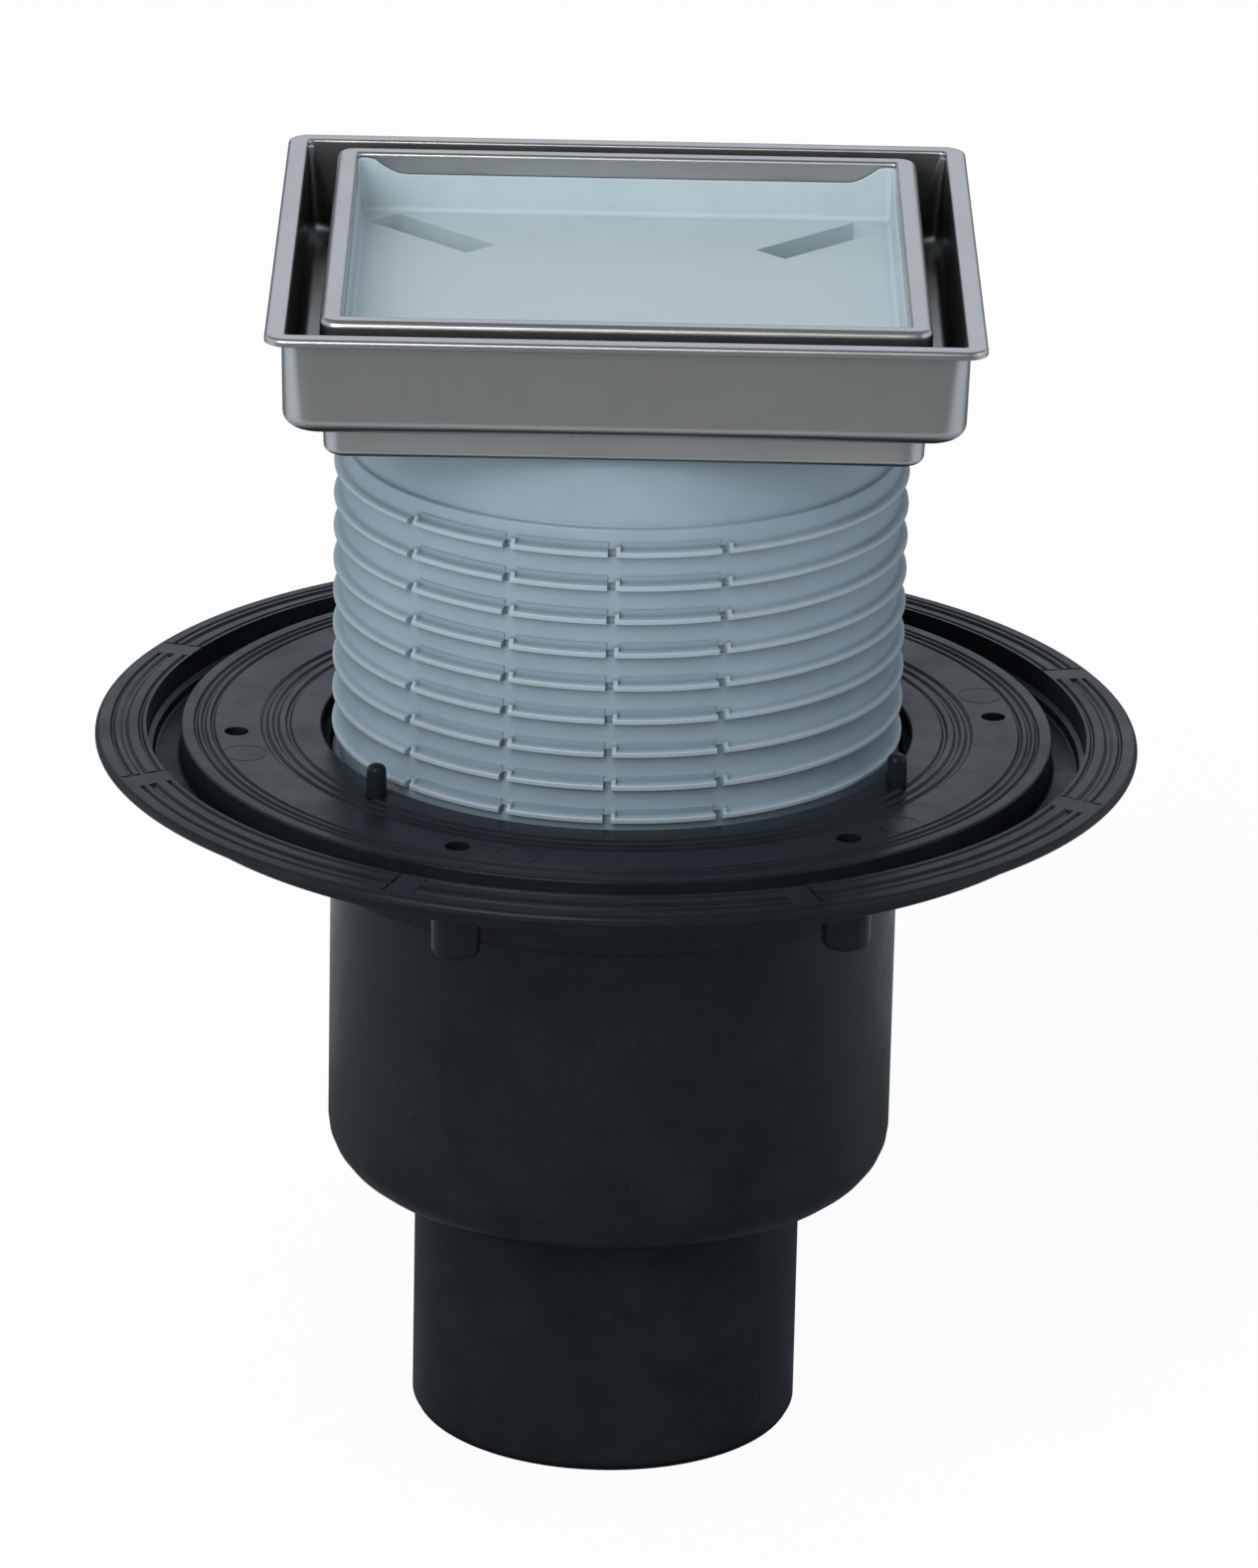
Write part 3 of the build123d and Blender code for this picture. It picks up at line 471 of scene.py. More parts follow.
def drawn_sheet():
    """Group: upright draw streaks, satin grain and soft waves of drawn steel sheet."""
    tree, ins, outs = new_group(
        "Drawn sheet",
        [("Streak scale", STREAK_SCALE), ("Wave scale", WAVE_SCALE)],
        ["Streak", "Grain", "Wave"],
    )
    upright = stretched_place(tree, *STREAK_STRETCH)
    place = add(tree, "ShaderNodeTexCoord").outputs["Object"]
    lines = {"Vector": upright, "Scale": ins.outputs["Streak scale"], "Detail": 1.0, "Roughness": 0.5}
    satin = {"Vector": place, "Scale": SATIN_SCALE, "Detail": 1.0, "Roughness": 0.5}
    waves = {"Vector": place, "Scale": ins.outputs["Wave scale"], "Detail": 2.0, "Roughness": 0.5}
    for label, values in (("Streak", lines), ("Grain", satin), ("Wave", waves)):
        result = add(tree, "ShaderNodeTexNoise", values).outputs["Fac"]
        tree.links.new(scaled(tree, result, *SHEET_RANGE), outs.inputs[label])
    return tree


def handling_marks():
    """Group: sparse hairline scuffs and tiny specks from handling."""
    tree, ins, outs = new_group(
        "Handling marks",
        [("Scuff scale", SCUFF_SCALE), ("Speck scale", SPECK_SCALE)],
        ["Scuffs", "Specks"],
    )
    slanted = stretched_place(tree, *SCUFF_STRETCH)
    place = add(tree, "ShaderNodeTexCoord").outputs["Object"]
    hair = {"Vector": slanted, "Scale": ins.outputs["Scuff scale"], "Detail": 3.0, "Distortion": 1.6}
    line = add(tree, "ShaderNodeTexNoise", hair).outputs["Fac"]
    off_middle = math_node(tree, "ABSOLUTE", math_node(tree, "SUBTRACT", line, NOISE_MIDDLE))
    thin = scaled(tree, off_middle, 0.0, SCUFF_HALF_WIDTH, 1.0, 0.0)
    patch = {"Vector": place, "Scale": SCUFF_PATCH_SCALE, "Detail": 2.0}
    patches = add(tree, "ShaderNodeTexNoise", patch).outputs["Fac"]
    where = scaled(tree, patches, *SCUFF_PATCH_RANGE)
    tree.links.new(math_node(tree, "MULTIPLY", thin, where), outs.inputs["Scuffs"])
    cells = add(tree, "ShaderNodeTexVoronoi", {"Vector": place, "Scale": ins.outputs["Speck scale"]})
    near = scaled(tree, cells.outputs["Distance"], *SPECK_EDGE, 1.0, 0.0)
    pick = add(tree, "ShaderNodeSeparateColor", {"Color": cells.outputs["Color"]}).outputs[0]
    chosen = math_node(tree, "GREATER_THAN", pick, SPECK_THRESHOLD)
    tree.links.new(math_node(tree, "MULTIPLY", near, chosen), outs.inputs["Specks"])
    return tree


def recess_shade():
    """Group: how open a place is, from 0 deep in a gap to 1 on a free face, which the materials use to paint
    shade.
    """
    tree, ins, outs = new_group("Recess shade", [("Reach", STEEL_REACH * MM)], ["Open"])
    reach = {"Distance": ins.outputs["Reach"]}
    shade = add(tree, "ShaderNodeAmbientOcclusion", reach, samples=OPEN_SAMPLES)
    tree.links.new(scaled(tree, shade.outputs["AO"], *OPEN_RANGE), outs.inputs["Open"])
    return tree


def group_node(tree, maker, label, values):
    """Node of a shared group, which is made at its first use."""
    made = add(tree, "ShaderNodeGroup", node_tree=bpy.data.node_groups.get(label) or maker())
    for key, value in values.items():
        made.inputs[key].default_value = value
    return made


def openness_in(tree, reach_mm):
    """Openness of the surface placed in a material, which sets where shade is painted."""
    return group_node(tree, recess_shade, "Recess shade", {"Reach": reach_mm * MM}).outputs["Open"]


def tinted(value, factor):
    """Colour times a factor, with full alpha."""
    return (*[min(1.0, c * factor) for c in value], 1.0)


def start_material(name):
    """Material with an empty tree, its shader and the shader's output."""
    material = bpy.data.materials.new(name)
    material.use_nodes = True
    tree = material.node_tree
    tree.nodes.clear()
    shader = add(tree, "ShaderNodeBsdfPrincipled")
    add(tree, "ShaderNodeOutputMaterial", {"Surface": shader.outputs["BSDF"]})
    return material, tree, shader


def bumped(tree, height, distance_mm, strength, below=None):
    """Normal of a bump with a height in millimetres, over another bump's normal if given."""
    values = {"Height": height, "Distance": distance_mm * MM, "Strength": strength}
    if below is not None:
        values["Normal"] = below
    return add(tree, "ShaderNodeBump", values).outputs["Normal"]


def axis_distance(tree):
    """Distance from the object's upright axis in metres."""
    place = add(tree, "ShaderNodeTexCoord").outputs["Object"]
    flat = add(tree, "ShaderNodeVectorMath", {0: place, 1: (1.0, 1.0, 0.0)}, operation="MULTIPLY")
    long = add(tree, "ShaderNodeVectorMath", {0: flat.outputs["Vector"]}, operation="LENGTH")
    return long.outputs["Value"]


def plastic(name, base, rough, grain_mm, mottle, specular, specks, scuffs, recess, tip=None):
    """Moulded plastic with grain, flow mottle, scuffs, specks, rougher recesses with painted shade, and a
    painted highlight on rib tips if given.
    """
    material, tree, shader = start_material(name)
    scales = {"Grain scale": GRAIN_SCALE, "Mottle scale": MOTTLE_SCALE}
    grain = group_node(tree, moulded_grain, "Moulded grain", scales)
    scales = {"Scuff scale": SCUFF_SCALE, "Speck scale": SPECK_SCALE}
    marks = group_node(tree, handling_marks, "Handling marks", scales)
    toned = mixed(tree, grain.outputs["Mottle"], tinted(base, 1 - mottle), tinted(base, 1 + mottle))
    # Painted highlight: the rib tips grow paler towards their edge, standing in for light on the lips
    if tip:
        start, end, amount = tip
        edge = scaled(tree, axis_distance(tree), start * MM, end * MM, 0.0, amount)
        toned = mixed(tree, edge, toned, tinted([(c + 1.0) / 2 for c in base], 1.0))
    pale = tinted([c * PALE_SHARE + PALE_LIFT for c in base], 1.0)
    scuffed = mixed(tree, math_node(tree, "MULTIPLY", marks.outputs["Scuffs"], scuffs), toned, pale)
    flecked = mixed(tree, math_node(tree, "MULTIPLY", marks.outputs["Specks"], specks), scuffed, pale)
    # Painted shade: the colour darkens to the recess tone where the surface is closed in
    open_share = openness_in(tree, PLASTIC_REACH)
    shaded = mixed(tree, open_share, tinted(base, recess), flecked)
    tree.links.new(shaded, shader.inputs["Base Color"])
    low, high = PLASTIC_ROUGH_SPREAD
    spread = scaled(tree, grain.outputs["Mottle"], 0.0, 1.0, rough + low, rough + high)
    dull = scaled(tree, open_share, 0.0, 1.0, RECESS_DULLING, 0.0)
    tree.links.new(math_node(tree, "ADD", spread, dull), shader.inputs["Roughness"])
    shader.inputs["Specular IOR Level"].default_value = specular
    normal = bumped(tree, grain.outputs["Mottle"], distance_mm=0.03, strength=0.5)
    normal = bumped(tree, grain.outputs["Grain"], grain_mm, strength=0.8, below=normal)
    tree.links.new(normal, shader.inputs["Normal"])
    return material


def steel(name, base, rough):
    """Drawn stainless sheet with satin grain, upright streaks, soft waves and painted shade in recesses."""
    material, tree, shader = start_material(name)
    scales = {"Streak scale": STREAK_SCALE, "Wave scale": WAVE_SCALE}
    sheet = group_node(tree, drawn_sheet, "Drawn sheet", scales)
    low, high = STREAK_TONES
    streaked = mixed(tree, sheet.outputs["Streak"], tinted(base, low), tinted(base, high))
    waves = math_node(tree, "MULTIPLY", sheet.outputs["Wave"], WAVE_SHARE)
    stained = mixed(tree, waves, streaked, tinted(base, WAVE_TONE))
    # Painted shade: the sheet's colour darkens where it is closed in, as in the gap round the tray
    open_share = openness_in(tree, STEEL_REACH)
    shaded = mixed(tree, open_share, tinted(base, STEEL_PAINTED_SHADE_TONE), stained)
    tree.links.new(shaded, shader.inputs["Base Color"])
    shader.inputs["Metallic"].default_value = 1.0
    low, high = WAVE_ROUGH_SPREAD
    broad = scaled(tree, sheet.outputs["Wave"], 0.0, 1.0, rough + low, rough + high)
    fine = scaled(tree, sheet.outputs["Grain"], 0.0, 1.0, *SATIN_ROUGH_SPREAD)
    tree.links.new(math_node(tree, "ADD", broad, fine), shader.inputs["Roughness"])
    normal = bumped(tree, sheet.outputs["Wave"], distance_mm=0.25, strength=0.7)
    normal = bumped(tree, sheet.outputs["Streak"], distance_mm=0.003, strength=0.5, below=normal)
    tree.links.new(normal, shader.inputs["Normal"])
    return material


def finish(slot):
    """Material of a slot, made at its first use."""
    name = "drain_" + slot
    if name in bpy.data.materials:
        return bpy.data.materials[name]
    tones = bpy.context.scene.drain_colours
    if slot in STEEL_ROUGHNESS:
        return steel(name, tones.stainless, STEEL_ROUGHNESS[slot])
    tone, values = PLASTICS[slot]
    return plastic(name, getattr(tones, tone), **values)


# Body


# Grooves of the outer ring and of the disc, as (middle radius, width)
RING_GROOVES = ((96.5, 1.0), (94.3, 1.8), (91.2, 1.0))
DISC_GROOVES = ((80.6, 1.0), (79.1, 1.2), (77.4, 1.0), (67.5, 1.7), (65.3, 1.6), (62.9, 1.3))
GROOVE_SLOPE_SHARE = 0.36
RING_SLOPE = 0.07
RING_SEGMENTS = 8
GAP_CENTRE_DEG = 21.0
GAP_DEG = 3.2
GAP_LINE_DEG = 0.36
GAP_EDGE_DEG = 0.05
GAP_COLUMN_DEG = 0.04
BODY_COLUMNS = 288
TROUGH_SHEET = 1.3
TROUGH_DRAFT = 0.15
TROUGH_STEP_WIDTH = 1.3
TROUGH_STEP_TOP = 4.6
TROUGH_STEP_BOTTOM = 5.0
TROUGH_FOOT = 1.6
SPIGOT_BEVEL = 0.7
SPIGOT_BEVEL_HEIGHT = 1.3
POT_FLOOR = 2.8
POT_ROUND = 9.0
POT_FLOOR_ROUND = 6.5
SOCKET_FLOOR = 4.2
HOLE_START_DEG = 6.3
HOLE_COUNT = 6
HOLE_DEPTH = 17.0
BOSS_RADIUS = 4.5
BOSS_FOOT_RADIUS = 4.9
BOSS_BOTTOM = 119.0
BOSS_ROUND = 1.4
PIN_CIRCLE = 60.8
PIN_ANGLES_DEG = (222.3, 330.3, 96.3)
PIN_DRAFT = 0.1
PIN_ROUND = 1.3
EJECTOR_CIRCLE = 73.2
EJECTOR_START_DEG = 15.7
EJECTOR_RADIUS = 4.0
EJECTOR_LINE = 0.3
EJECTOR_DEPTH = 0.06
EJECTOR_REACH = 0.5
OVERLAP = 1.0


def thinned(angles, least):
    """Sorted angles without those that lie within the least step of the last one kept."""
    angles = sorted(angles)
    kept = [angles[0]]
    for angle in angles[1:]:
        if angle - kept[-1] > least:
            kept.append(angle)
    return kept


def gap_places():
    """Angles of the eight gaps in the ring grooves: start, end, and the line at the far side."""
    places = []
    for k in range(RING_SEGMENTS):
        middle = GAP_CENTRE_DEG + 360.0 / RING_SEGMENTS * k
        start = middle - GAP_DEG / 2
        end = middle + GAP_DEG / 2
        right = math.cos(math.radians(middle)) > 0
        line = end if right else start - GAP_LINE_DEG
        places.append((start % 360, end % 360, line % 360))
    return places


def ring_columns():
    """Angles of the body's columns, with extra ones at the edges of gaps and lines."""
    angles = [360.0 * k / BODY_COLUMNS for k in range(BODY_COLUMNS)]
    for start, end, line in gap_places():
        for edge in (start, end, line, line + GAP_LINE_DEG):
            angles += [(edge - GAP_EDGE_DEG) % 360, (edge + GAP_EDGE_DEG) % 360]
    return thinned(angles, GAP_COLUMN_DEG)


def ring_depth(groove, degrees, sizes):
    """Depth of the flange's outer ring at an angle, in or beside a groove."""
    for start, end, line in gap_places():
        if line <= degrees <= line + GAP_LINE_DEG:
            return sizes.groove_depth
        if start <= degrees <= end:
            return 0.0
    return sizes.groove_depth if groove else 0.0


def flange_profile(s):
    """Outline of the body as (radius, height, (is on the outer ring, is in a groove)) points."""
    under = s.flange_top - s.flange_thickness
    trough_floor = s.flange_top - s.trough_depth
    trough_under = trough_floor - TROUGH_SHEET
    wall = s.flange_thickness
    ledge = s.socket_bottom + SOCKET_FLOOR
    pot_floor = s.pot_bottom + POT_FLOOR

    def face(radius):
        """Height of the flange's face, which falls towards its edge."""
        return s.flange_top - max(0.0, radius - s.trough_outer) * RING_SLOPE

    outside = rounded([
        (s.spigot_bore, 0.0, 0.5),
        (s.spigot_radius - SPIGOT_BEVEL, 0.0, 0.4),
        (s.spigot_radius, SPIGOT_BEVEL_HEIGHT, 0.6),
        (s.spigot_radius, s.pot_bottom, 0.6),
        (s.pot_radius, s.pot_bottom, POT_ROUND),
        (s.pot_radius, s.socket_bottom, 0.3),
        (s.socket_radius, s.socket_bottom, 1.0),
        (s.socket_radius, under, 1.2),
        (s.trough_inner - wall, under, 0.8),
        (s.trough_inner - wall, trough_under, 0.8),
        (s.trough_outer + TROUGH_SHEET, trough_under, 1.0),
        (s.trough_outer + TROUGH_SHEET, under, 0.8),
        (s.flange_radius, under, 0.5),
        (s.flange_radius, face(s.flange_radius), 1.1),
        (s.trough_outer, s.flange_top, 0.0),
        (s.trough_outer - TROUGH_DRAFT, s.flange_top - TROUGH_STEP_TOP, 0.3),
        (s.trough_outer - TROUGH_STEP_WIDTH, s.flange_top - TROUGH_STEP_BOTTOM, 0.3),
        (s.trough_outer - TROUGH_FOOT, trough_floor, 0.5),
        (s.trough_inner, trough_floor, 0.8),
        (s.trough_inner, s.flange_top, 0.5),
        (s.mouth_radius, s.flange_top, 0.7),
        (s.mouth_radius, under, 0.2),
        (s.socket_bore, under, 0.2),
        (s.socket_bore, ledge, 0.6),
        (s.pot_bore, ledge, 0.6),
        (s.pot_bore, pot_floor, POT_FLOOR_ROUND),
        (s.spigot_bore, pot_floor, 0.6),
    ], 6)
    points = []
    for index, (radius, z) in enumerate(outside):
        following = outside[(index + 1) % len(outside)]
        points.append((radius, z, (False, False)))
        off_face = max(abs(z - face(radius)), abs(following[1] - face(following[0])))
        if off_face >= SAME_HEIGHT:
            continue
        for middle, width in RING_GROOVES + DISC_GROOVES:
            if not following[0] < middle < radius:
                continue
            ring = middle > s.trough_outer
            floor_half = width * (0.5 - GROOVE_SLOPE_SHARE)
            edges = ((width / 2, False), (floor_half, True), (-floor_half, True), (-width / 2, False))
            for offset, deep in edges:
                place = middle + offset
                height = face(place) - (s.groove_depth if deep and not ring else 0.0)
                points.append((place, height, (ring, deep)))
    return points


def turned_body(sizes):
    """Turned part of the body with its grooves."""
    columns = ring_columns()
    depths = {groove: [ring_depth(groove, a, sizes) for a in columns] for groove in (False, True)}
    rings = []
    for radius, z, (on_ring, groove) in flange_profile(sizes):
        ring = []
        for degrees, depth in zip(columns, depths[groove]):
            angle = math.radians(degrees)
            height = z - depth if on_ring else z
            ring.append((radius * math.cos(angle), radius * math.sin(angle), height))
        rings.append(ring)
    return skin("drain_body_dressed", rings)


def around(count, start_deg):
    """Angles in radians of evenly spaced places."""
    return [math.radians(start_deg + 360.0 * k / count) for k in range(count)]


def body_additions(s):
    """Screw bosses under the flange and pins on it."""
    pieces = []
    under = s.flange_top - s.flange_thickness
    for angle in around(HOLE_COUNT, HOLE_START_DEG):
        foot = (BOSS_FOOT_RADIUS, under + OVERLAP, 0)
        boss = peg("boss", [(BOSS_RADIUS, BOSS_BOTTOM, BOSS_ROUND), foot], 48, 5)
        pieces.append(on_circle(boss, s.hole_circle, angle))
    for degrees in PIN_ANGLES_DEG:
        foot = (s.pin_radius + PIN_DRAFT, s.flange_top - OVERLAP, 0)
        top = (s.pin_radius - PIN_DRAFT, s.flange_top + s.pin_height, PIN_ROUND)
        pieces.append(on_circle(peg("pin", [foot, top], 32, 6), PIN_CIRCLE, math.radians(degrees)))
    return joined("additions", pieces)


def body_cuts(s):
    """Screw holes and the shallow rings that ejector pins leave on the disc."""
    pieces = []
    for angle in around(HOLE_COUNT, HOLE_START_DEG):
        low = (s.hole_radius, s.flange_top - HOLE_DEPTH, 0)
        high = (s.hole_radius, s.flange_top + OVERLAP, 0)
        pieces.append(on_circle(peg("hole", [low, high], 40), s.hole_circle, angle))
    low = s.flange_top - EJECTOR_DEPTH
    high = s.flange_top + EJECTOR_REACH
    inner = EJECTOR_RADIUS
    outer = EJECTOR_RADIUS + EJECTOR_LINE
    line = [(inner, low, 0), (outer, low, 0), (outer, high, 0), (inner, high, 0)]
    for angle in around(HOLE_COUNT, EJECTOR_START_DEG):
        pieces.append(on_circle(turned("ring", line, 40), EJECTOR_CIRCLE, angle))
    return joined("cuts", pieces)


# Collar


NOTCH_ANGLES_DEG = (223.8, 247.0, 268.1, 290.7)
TOOTH_DEG = 0.95
COLLAR_COLUMNS = 240
NOTCH_EDGE_DEG = 0.05
NOTCH_COLUMN_DEG = 0.03
NOTCH_POCKET = 0.55
BAND_STEP = 0.28
TOP_RING = 3.0
TOP_RING_BORE = 44.5
NECK_BORE = 49.2
TAPER_BOTTOM = 195.2
TAPER_TOP = 200.4
SHOULDER_HEIGHT = 2.0
GASKET_BORE = 44.7
GASKET_THICKNESS = 1.0
GASKET_GAP = 0.1
GASKET_ROUND = 0.2
GASKET_RIM = 0.6
GASKET_RIM_HEIGHT = 0.9


def notch_columns(s):
    """Angles of the collar's columns, with extra ones at the notches and teeth."""
    half = math.degrees(s.notch_width / 2 / s.rib_radius)
    angles = [360.0 * k / COLLAR_COLUMNS for k in range(COLLAR_COLUMNS)]
    for notch in NOTCH_ANGLES_DEG:
        for edge in (notch - half, notch + half, notch + half + TOOTH_DEG):
            angles += [edge - NOTCH_EDGE_DEG, edge + NOTCH_EDGE_DEG]
    return thinned(angles, NOTCH_COLUMN_DEG)


def collar_zone(degrees, s):
    """What a rib does at an angle: notch, tooth, banded or plain."""
    half = math.degrees(s.notch_width / 2 / s.rib_radius)
    for notch in NOTCH_ANGLES_DEG:
        if abs(degrees - notch) < half:
            return "notch"
        if 0 <= degrees - notch - half < TOOTH_DEG:
            return "tooth"
    if NOTCH_ANGLES_DEG[0] < degrees < NOTCH_ANGLES_DEG[-1]:
        return "banded"
    return "plain"


def rib_points(z, s):
    """One rib's points as (height, radius in each zone), from the top down."""
    tip = s.rib_radius
    wall = s.barrel_radius
    pocket = wall - NOTCH_POCKET
    band = wall + BAND_STEP
    return [
        (z + 2.10, {"notch": wall, "tooth": wall, "banded": wall, "plain": wall}),
        (z + 1.98, {"notch": wall, "tooth": wall, "banded": band + 0.15, "plain": wall + 0.02}),
        (z + 1.62, {"notch": wall, "tooth": wall + 0.1, "banded": band + 0.05, "plain": wall + 0.04}),
        (z + 1.45, {"notch": wall, "tooth": tip - 0.5, "banded": band, "plain": wall + 0.06}),
        (z + 0.72, {"notch": wall, "tooth": tip - 0.35, "banded": band - 0.22, "plain": wall + 0.10}),
        (z + 0.60, {"notch": pocket, "tooth": tip - 0.2, "banded": tip - 0.55, "plain": wall + 0.45}),
        (z + 0.46, {"notch": pocket, "tooth": tip - 0.08, "banded": tip - 0.12, "plain": tip - 0.35}),
        (z + 0.30, {"notch": pocket, "tooth": tip, "banded": tip, "plain": tip - 0.05}),
        (z - 0.05, {"notch": pocket, "tooth": tip, "banded": tip, "plain": tip}),
        (z - 0.42, {"notch": pocket, "tooth": tip - 0.05, "banded": tip - 0.05, "plain": tip - 0.05}),
        (z - 0.58, {"notch": pocket, "tooth": tip - 0.3, "banded": tip - 0.3, "plain": tip - 0.3}),
        (z - 0.80, {"notch": wall, "tooth": wall + 0.1, "banded": wall + 0.1, "plain": wall + 0.1}),
        (z - 1.00, {"notch": wall, "tooth": wall, "banded": wall, "plain": wall}),
    ]


def collar_mesh(s):
    """Neck, ribbed barrel and bore of the collar."""
    columns = notch_columns(s)
    angles = [math.radians(a) for a in columns]
    zones = [collar_zone(a, s) for a in columns]
    rim_top = s.top + GASKET_RIM_HEIGHT
    rim_inner = s.neck_radius - GASKET_RIM
    neck = rounded([
        (TOP_RING_BORE, s.top, 0.0),
        (rim_inner, s.top, 0.0),
        (rim_inner, rim_top, 0.1),
        (s.neck_radius, rim_top, 0.25),
        (s.neck_radius, s.neck_bottom, 0.4),
        (s.barrel_radius - 0.1, s.neck_bottom - 0.1, 0.35),
        (s.barrel_radius, s.neck_bottom - SHOULDER_HEIGHT, 0.0),
    ], 3)
    rings = [circle_ring(r, z, angles) for r, z in neck]
    for k in range(s.rib_count):
        for z, radii in rib_points(s.first_rib - k * s.rib_pitch, s):
            ring = []
            for angle, zone in zip(angles, zones):
                radius = radii[zone]
                ring.append((radius * math.cos(angle), radius * math.sin(angle), z))
            rings.append(ring)
    inner = rounded([
        (s.barrel_radius, s.bottom, 0.5),
        (s.bore, s.bottom, 0.5),
        (s.bore, TAPER_BOTTOM, 1.0),
        (NECK_BORE, TAPER_TOP, 1.0),
        (NECK_BORE, s.top - TOP_RING, 0.5),
        (TOP_RING_BORE, s.top - TOP_RING, 0.4),
        (TOP_RING_BORE, s.top - 1.0, 0.0),
    ], 3)
    rings += [circle_ring(r, z, angles) for r, z in inner]
    return skin("collar_dressed", rings)


def gasket_mesh(s):
    """Rubber ring on the collar's top, inside the neck's rim."""
    low = s.top
    high = s.top + GASKET_THICKNESS
    outer = s.neck_radius - GASKET_RIM - GASKET_GAP
    corners = ((GASKET_BORE, low), (outer, low), (outer, high), (GASKET_BORE, high))
    return turned("gasket_dressed", [(radius, z, GASKET_ROUND) for radius, z in corners])


# Steel frame and tray


FLOOR_EDGE = 51.0
RIM_HEIGHT = 1.5
RIM_CORNER = 4.2
MOUTH_CORNER = 1.2
BOWL_TOP_CORNER = 4.5
BOWL_BOTTOM_CORNER = 7.0
BOWL_ROUND = 3.0
BOWL_INNER_ROUND = 2.4
STEP_CORNER = 5.0
TRAY_CORNER = 3.4
TAB_FLAT_END = 43.0
TAB_RISE_LENGTH = 6.0
TAB_CURVE = 1.6
INSERT_CORNER = 3.0
INSERT_MIDDLE = 30.0
INSERT_EAR = 53.0
INSERT_SHEET = 2.0
INSERT_GAP = 0.2
CHANNEL_COUNT = 4
CHANNEL_START_DEG = 45.0
SLOT_CORNER = 0.35
FOOT_BOTTOM = 216.0
FOOT_WALL = 1.6
OPEN_TOP = 5.0


def between(z, low, at_low, high, at_high):
    """Size that changes evenly between two heights."""
    share = min(1.0, max(0.0, (z - low) / (high - low)))
    return at_low + share * (at_high - at_low)


def frame_mesh(s):
    """Deep-drawn pan: rim, bowl, step and pierced floor."""
    plate = s.frame_top - s.sheet
    floor = s.bowl_floor + s.sheet
    outline = rounded([
        (FLOOR_EDGE, s.step_floor, 0.0),
        (s.step_bottom, s.step_floor, 1.4),
        (s.step_top, s.bowl_floor, 1.2),
        (s.bowl_bottom, s.bowl_floor, BOWL_ROUND),
        (s.bowl_top, plate, 0.7),
        (s.frame_rim - s.sheet, plate, 0.3),
        (s.frame_rim - s.sheet, s.frame_top - RIM_HEIGHT, 0.2),
        (s.frame_rim, s.frame_top - RIM_HEIGHT, 0.25),
        (s.frame_rim, s.frame_top - 0.05, 0.75),
        (s.bowl_top + 0.6, s.frame_top, 0.0),
        (s.bowl_top - s.sheet, s.frame_top - 0.08, 0.55),
        (s.bowl_bottom - s.sheet, floor, BOWL_INNER_ROUND),
        (s.step_top - s.sheet, floor, 1.6),
        (s.step_bottom - s.sheet, s.step_floor + s.sheet, 1.0),
        (FLOOR_EDGE, s.step_floor + s.sheet, 0.0),
    ], 6)

    def corner(half, z):
        """Corner radius of the pan at a place of its outline."""
        if half > s.bowl_top + 0.3:
            return RIM_CORNER - (s.frame_rim - half)
        if z >= s.bowl_floor - 0.05 and half > s.step_top:
            outer = between(z, s.bowl_floor, BOWL_BOTTOM_CORNER, plate, BOWL_TOP_CORNER)
            wall = between(z, s.bowl_floor, s.bowl_bottom, plate, s.bowl_top)
            inner_corner = MOUTH_CORNER if z > s.frame_top - 1.0 else outer
            return max(0.9, min(outer - (wall - half), inner_corner))
        return max(2.0, STEP_CORNER - (s.step_top - half))

    rings = [square_ring(half, corner(half, z), z, 28, 10) for half, z in outline]
    angles = [math.atan2(y, x) for x, y, _ in rings[0]]
    hole = [circle_ring(s.hole_radius, z, angles) for z in (s.step_floor + s.sheet, s.step_floor)]
    return skin("steel_frame_dressed", rings + hole)


def tab_lift(x, y, low, high):
    """Height of a tab's or an insert wall's edge at a place along the side."""
    along = min(abs(x), abs(y))
    share = min(1.0, max(0.0, (along - TAB_FLAT_END) / TAB_RISE_LENGTH))
    return low + (high - low) * share ** TAB_CURVE


def tray_rim_mesh(s):
    """Stainless edge of the tray: outer skirt, rounded top and inner tabs."""
    plate = s.tray_top - s.sheet
    skirt = s.tray_top - s.tray_skirt
    tab = s.tray_top - s.tab_height
    outline = rounded([
        (s.tray_half - s.sheet, skirt, 0.0),
        (s.tray_half, skirt, 0.2),
        (s.tray_half, s.tray_top, 1.35),
        (s.tray_mouth, s.tray_top, 0.75),
        (s.tray_mouth, tab, 0.0),
        (s.tray_mouth + s.sheet, tab, 0.0),
        (s.tray_mouth + s.sheet, plate, 0.15),
        (s.tray_half - s.sheet, plate, 0.5),
    ], 6)
    rings = []
    for half, z in outline:
        corner = max(0.6, TRAY_CORNER - (s.tray_half - half))
        ring = square_ring(half, corner, z, 64, 8)
        if abs(z - tab) < SAME_HEIGHT:
            ring = [(x, y, tab_lift(x, y, tab, plate - 0.05)) for x, y, _ in ring]
        rings.append(ring)
    return skin("tray_rim_dressed", rings)


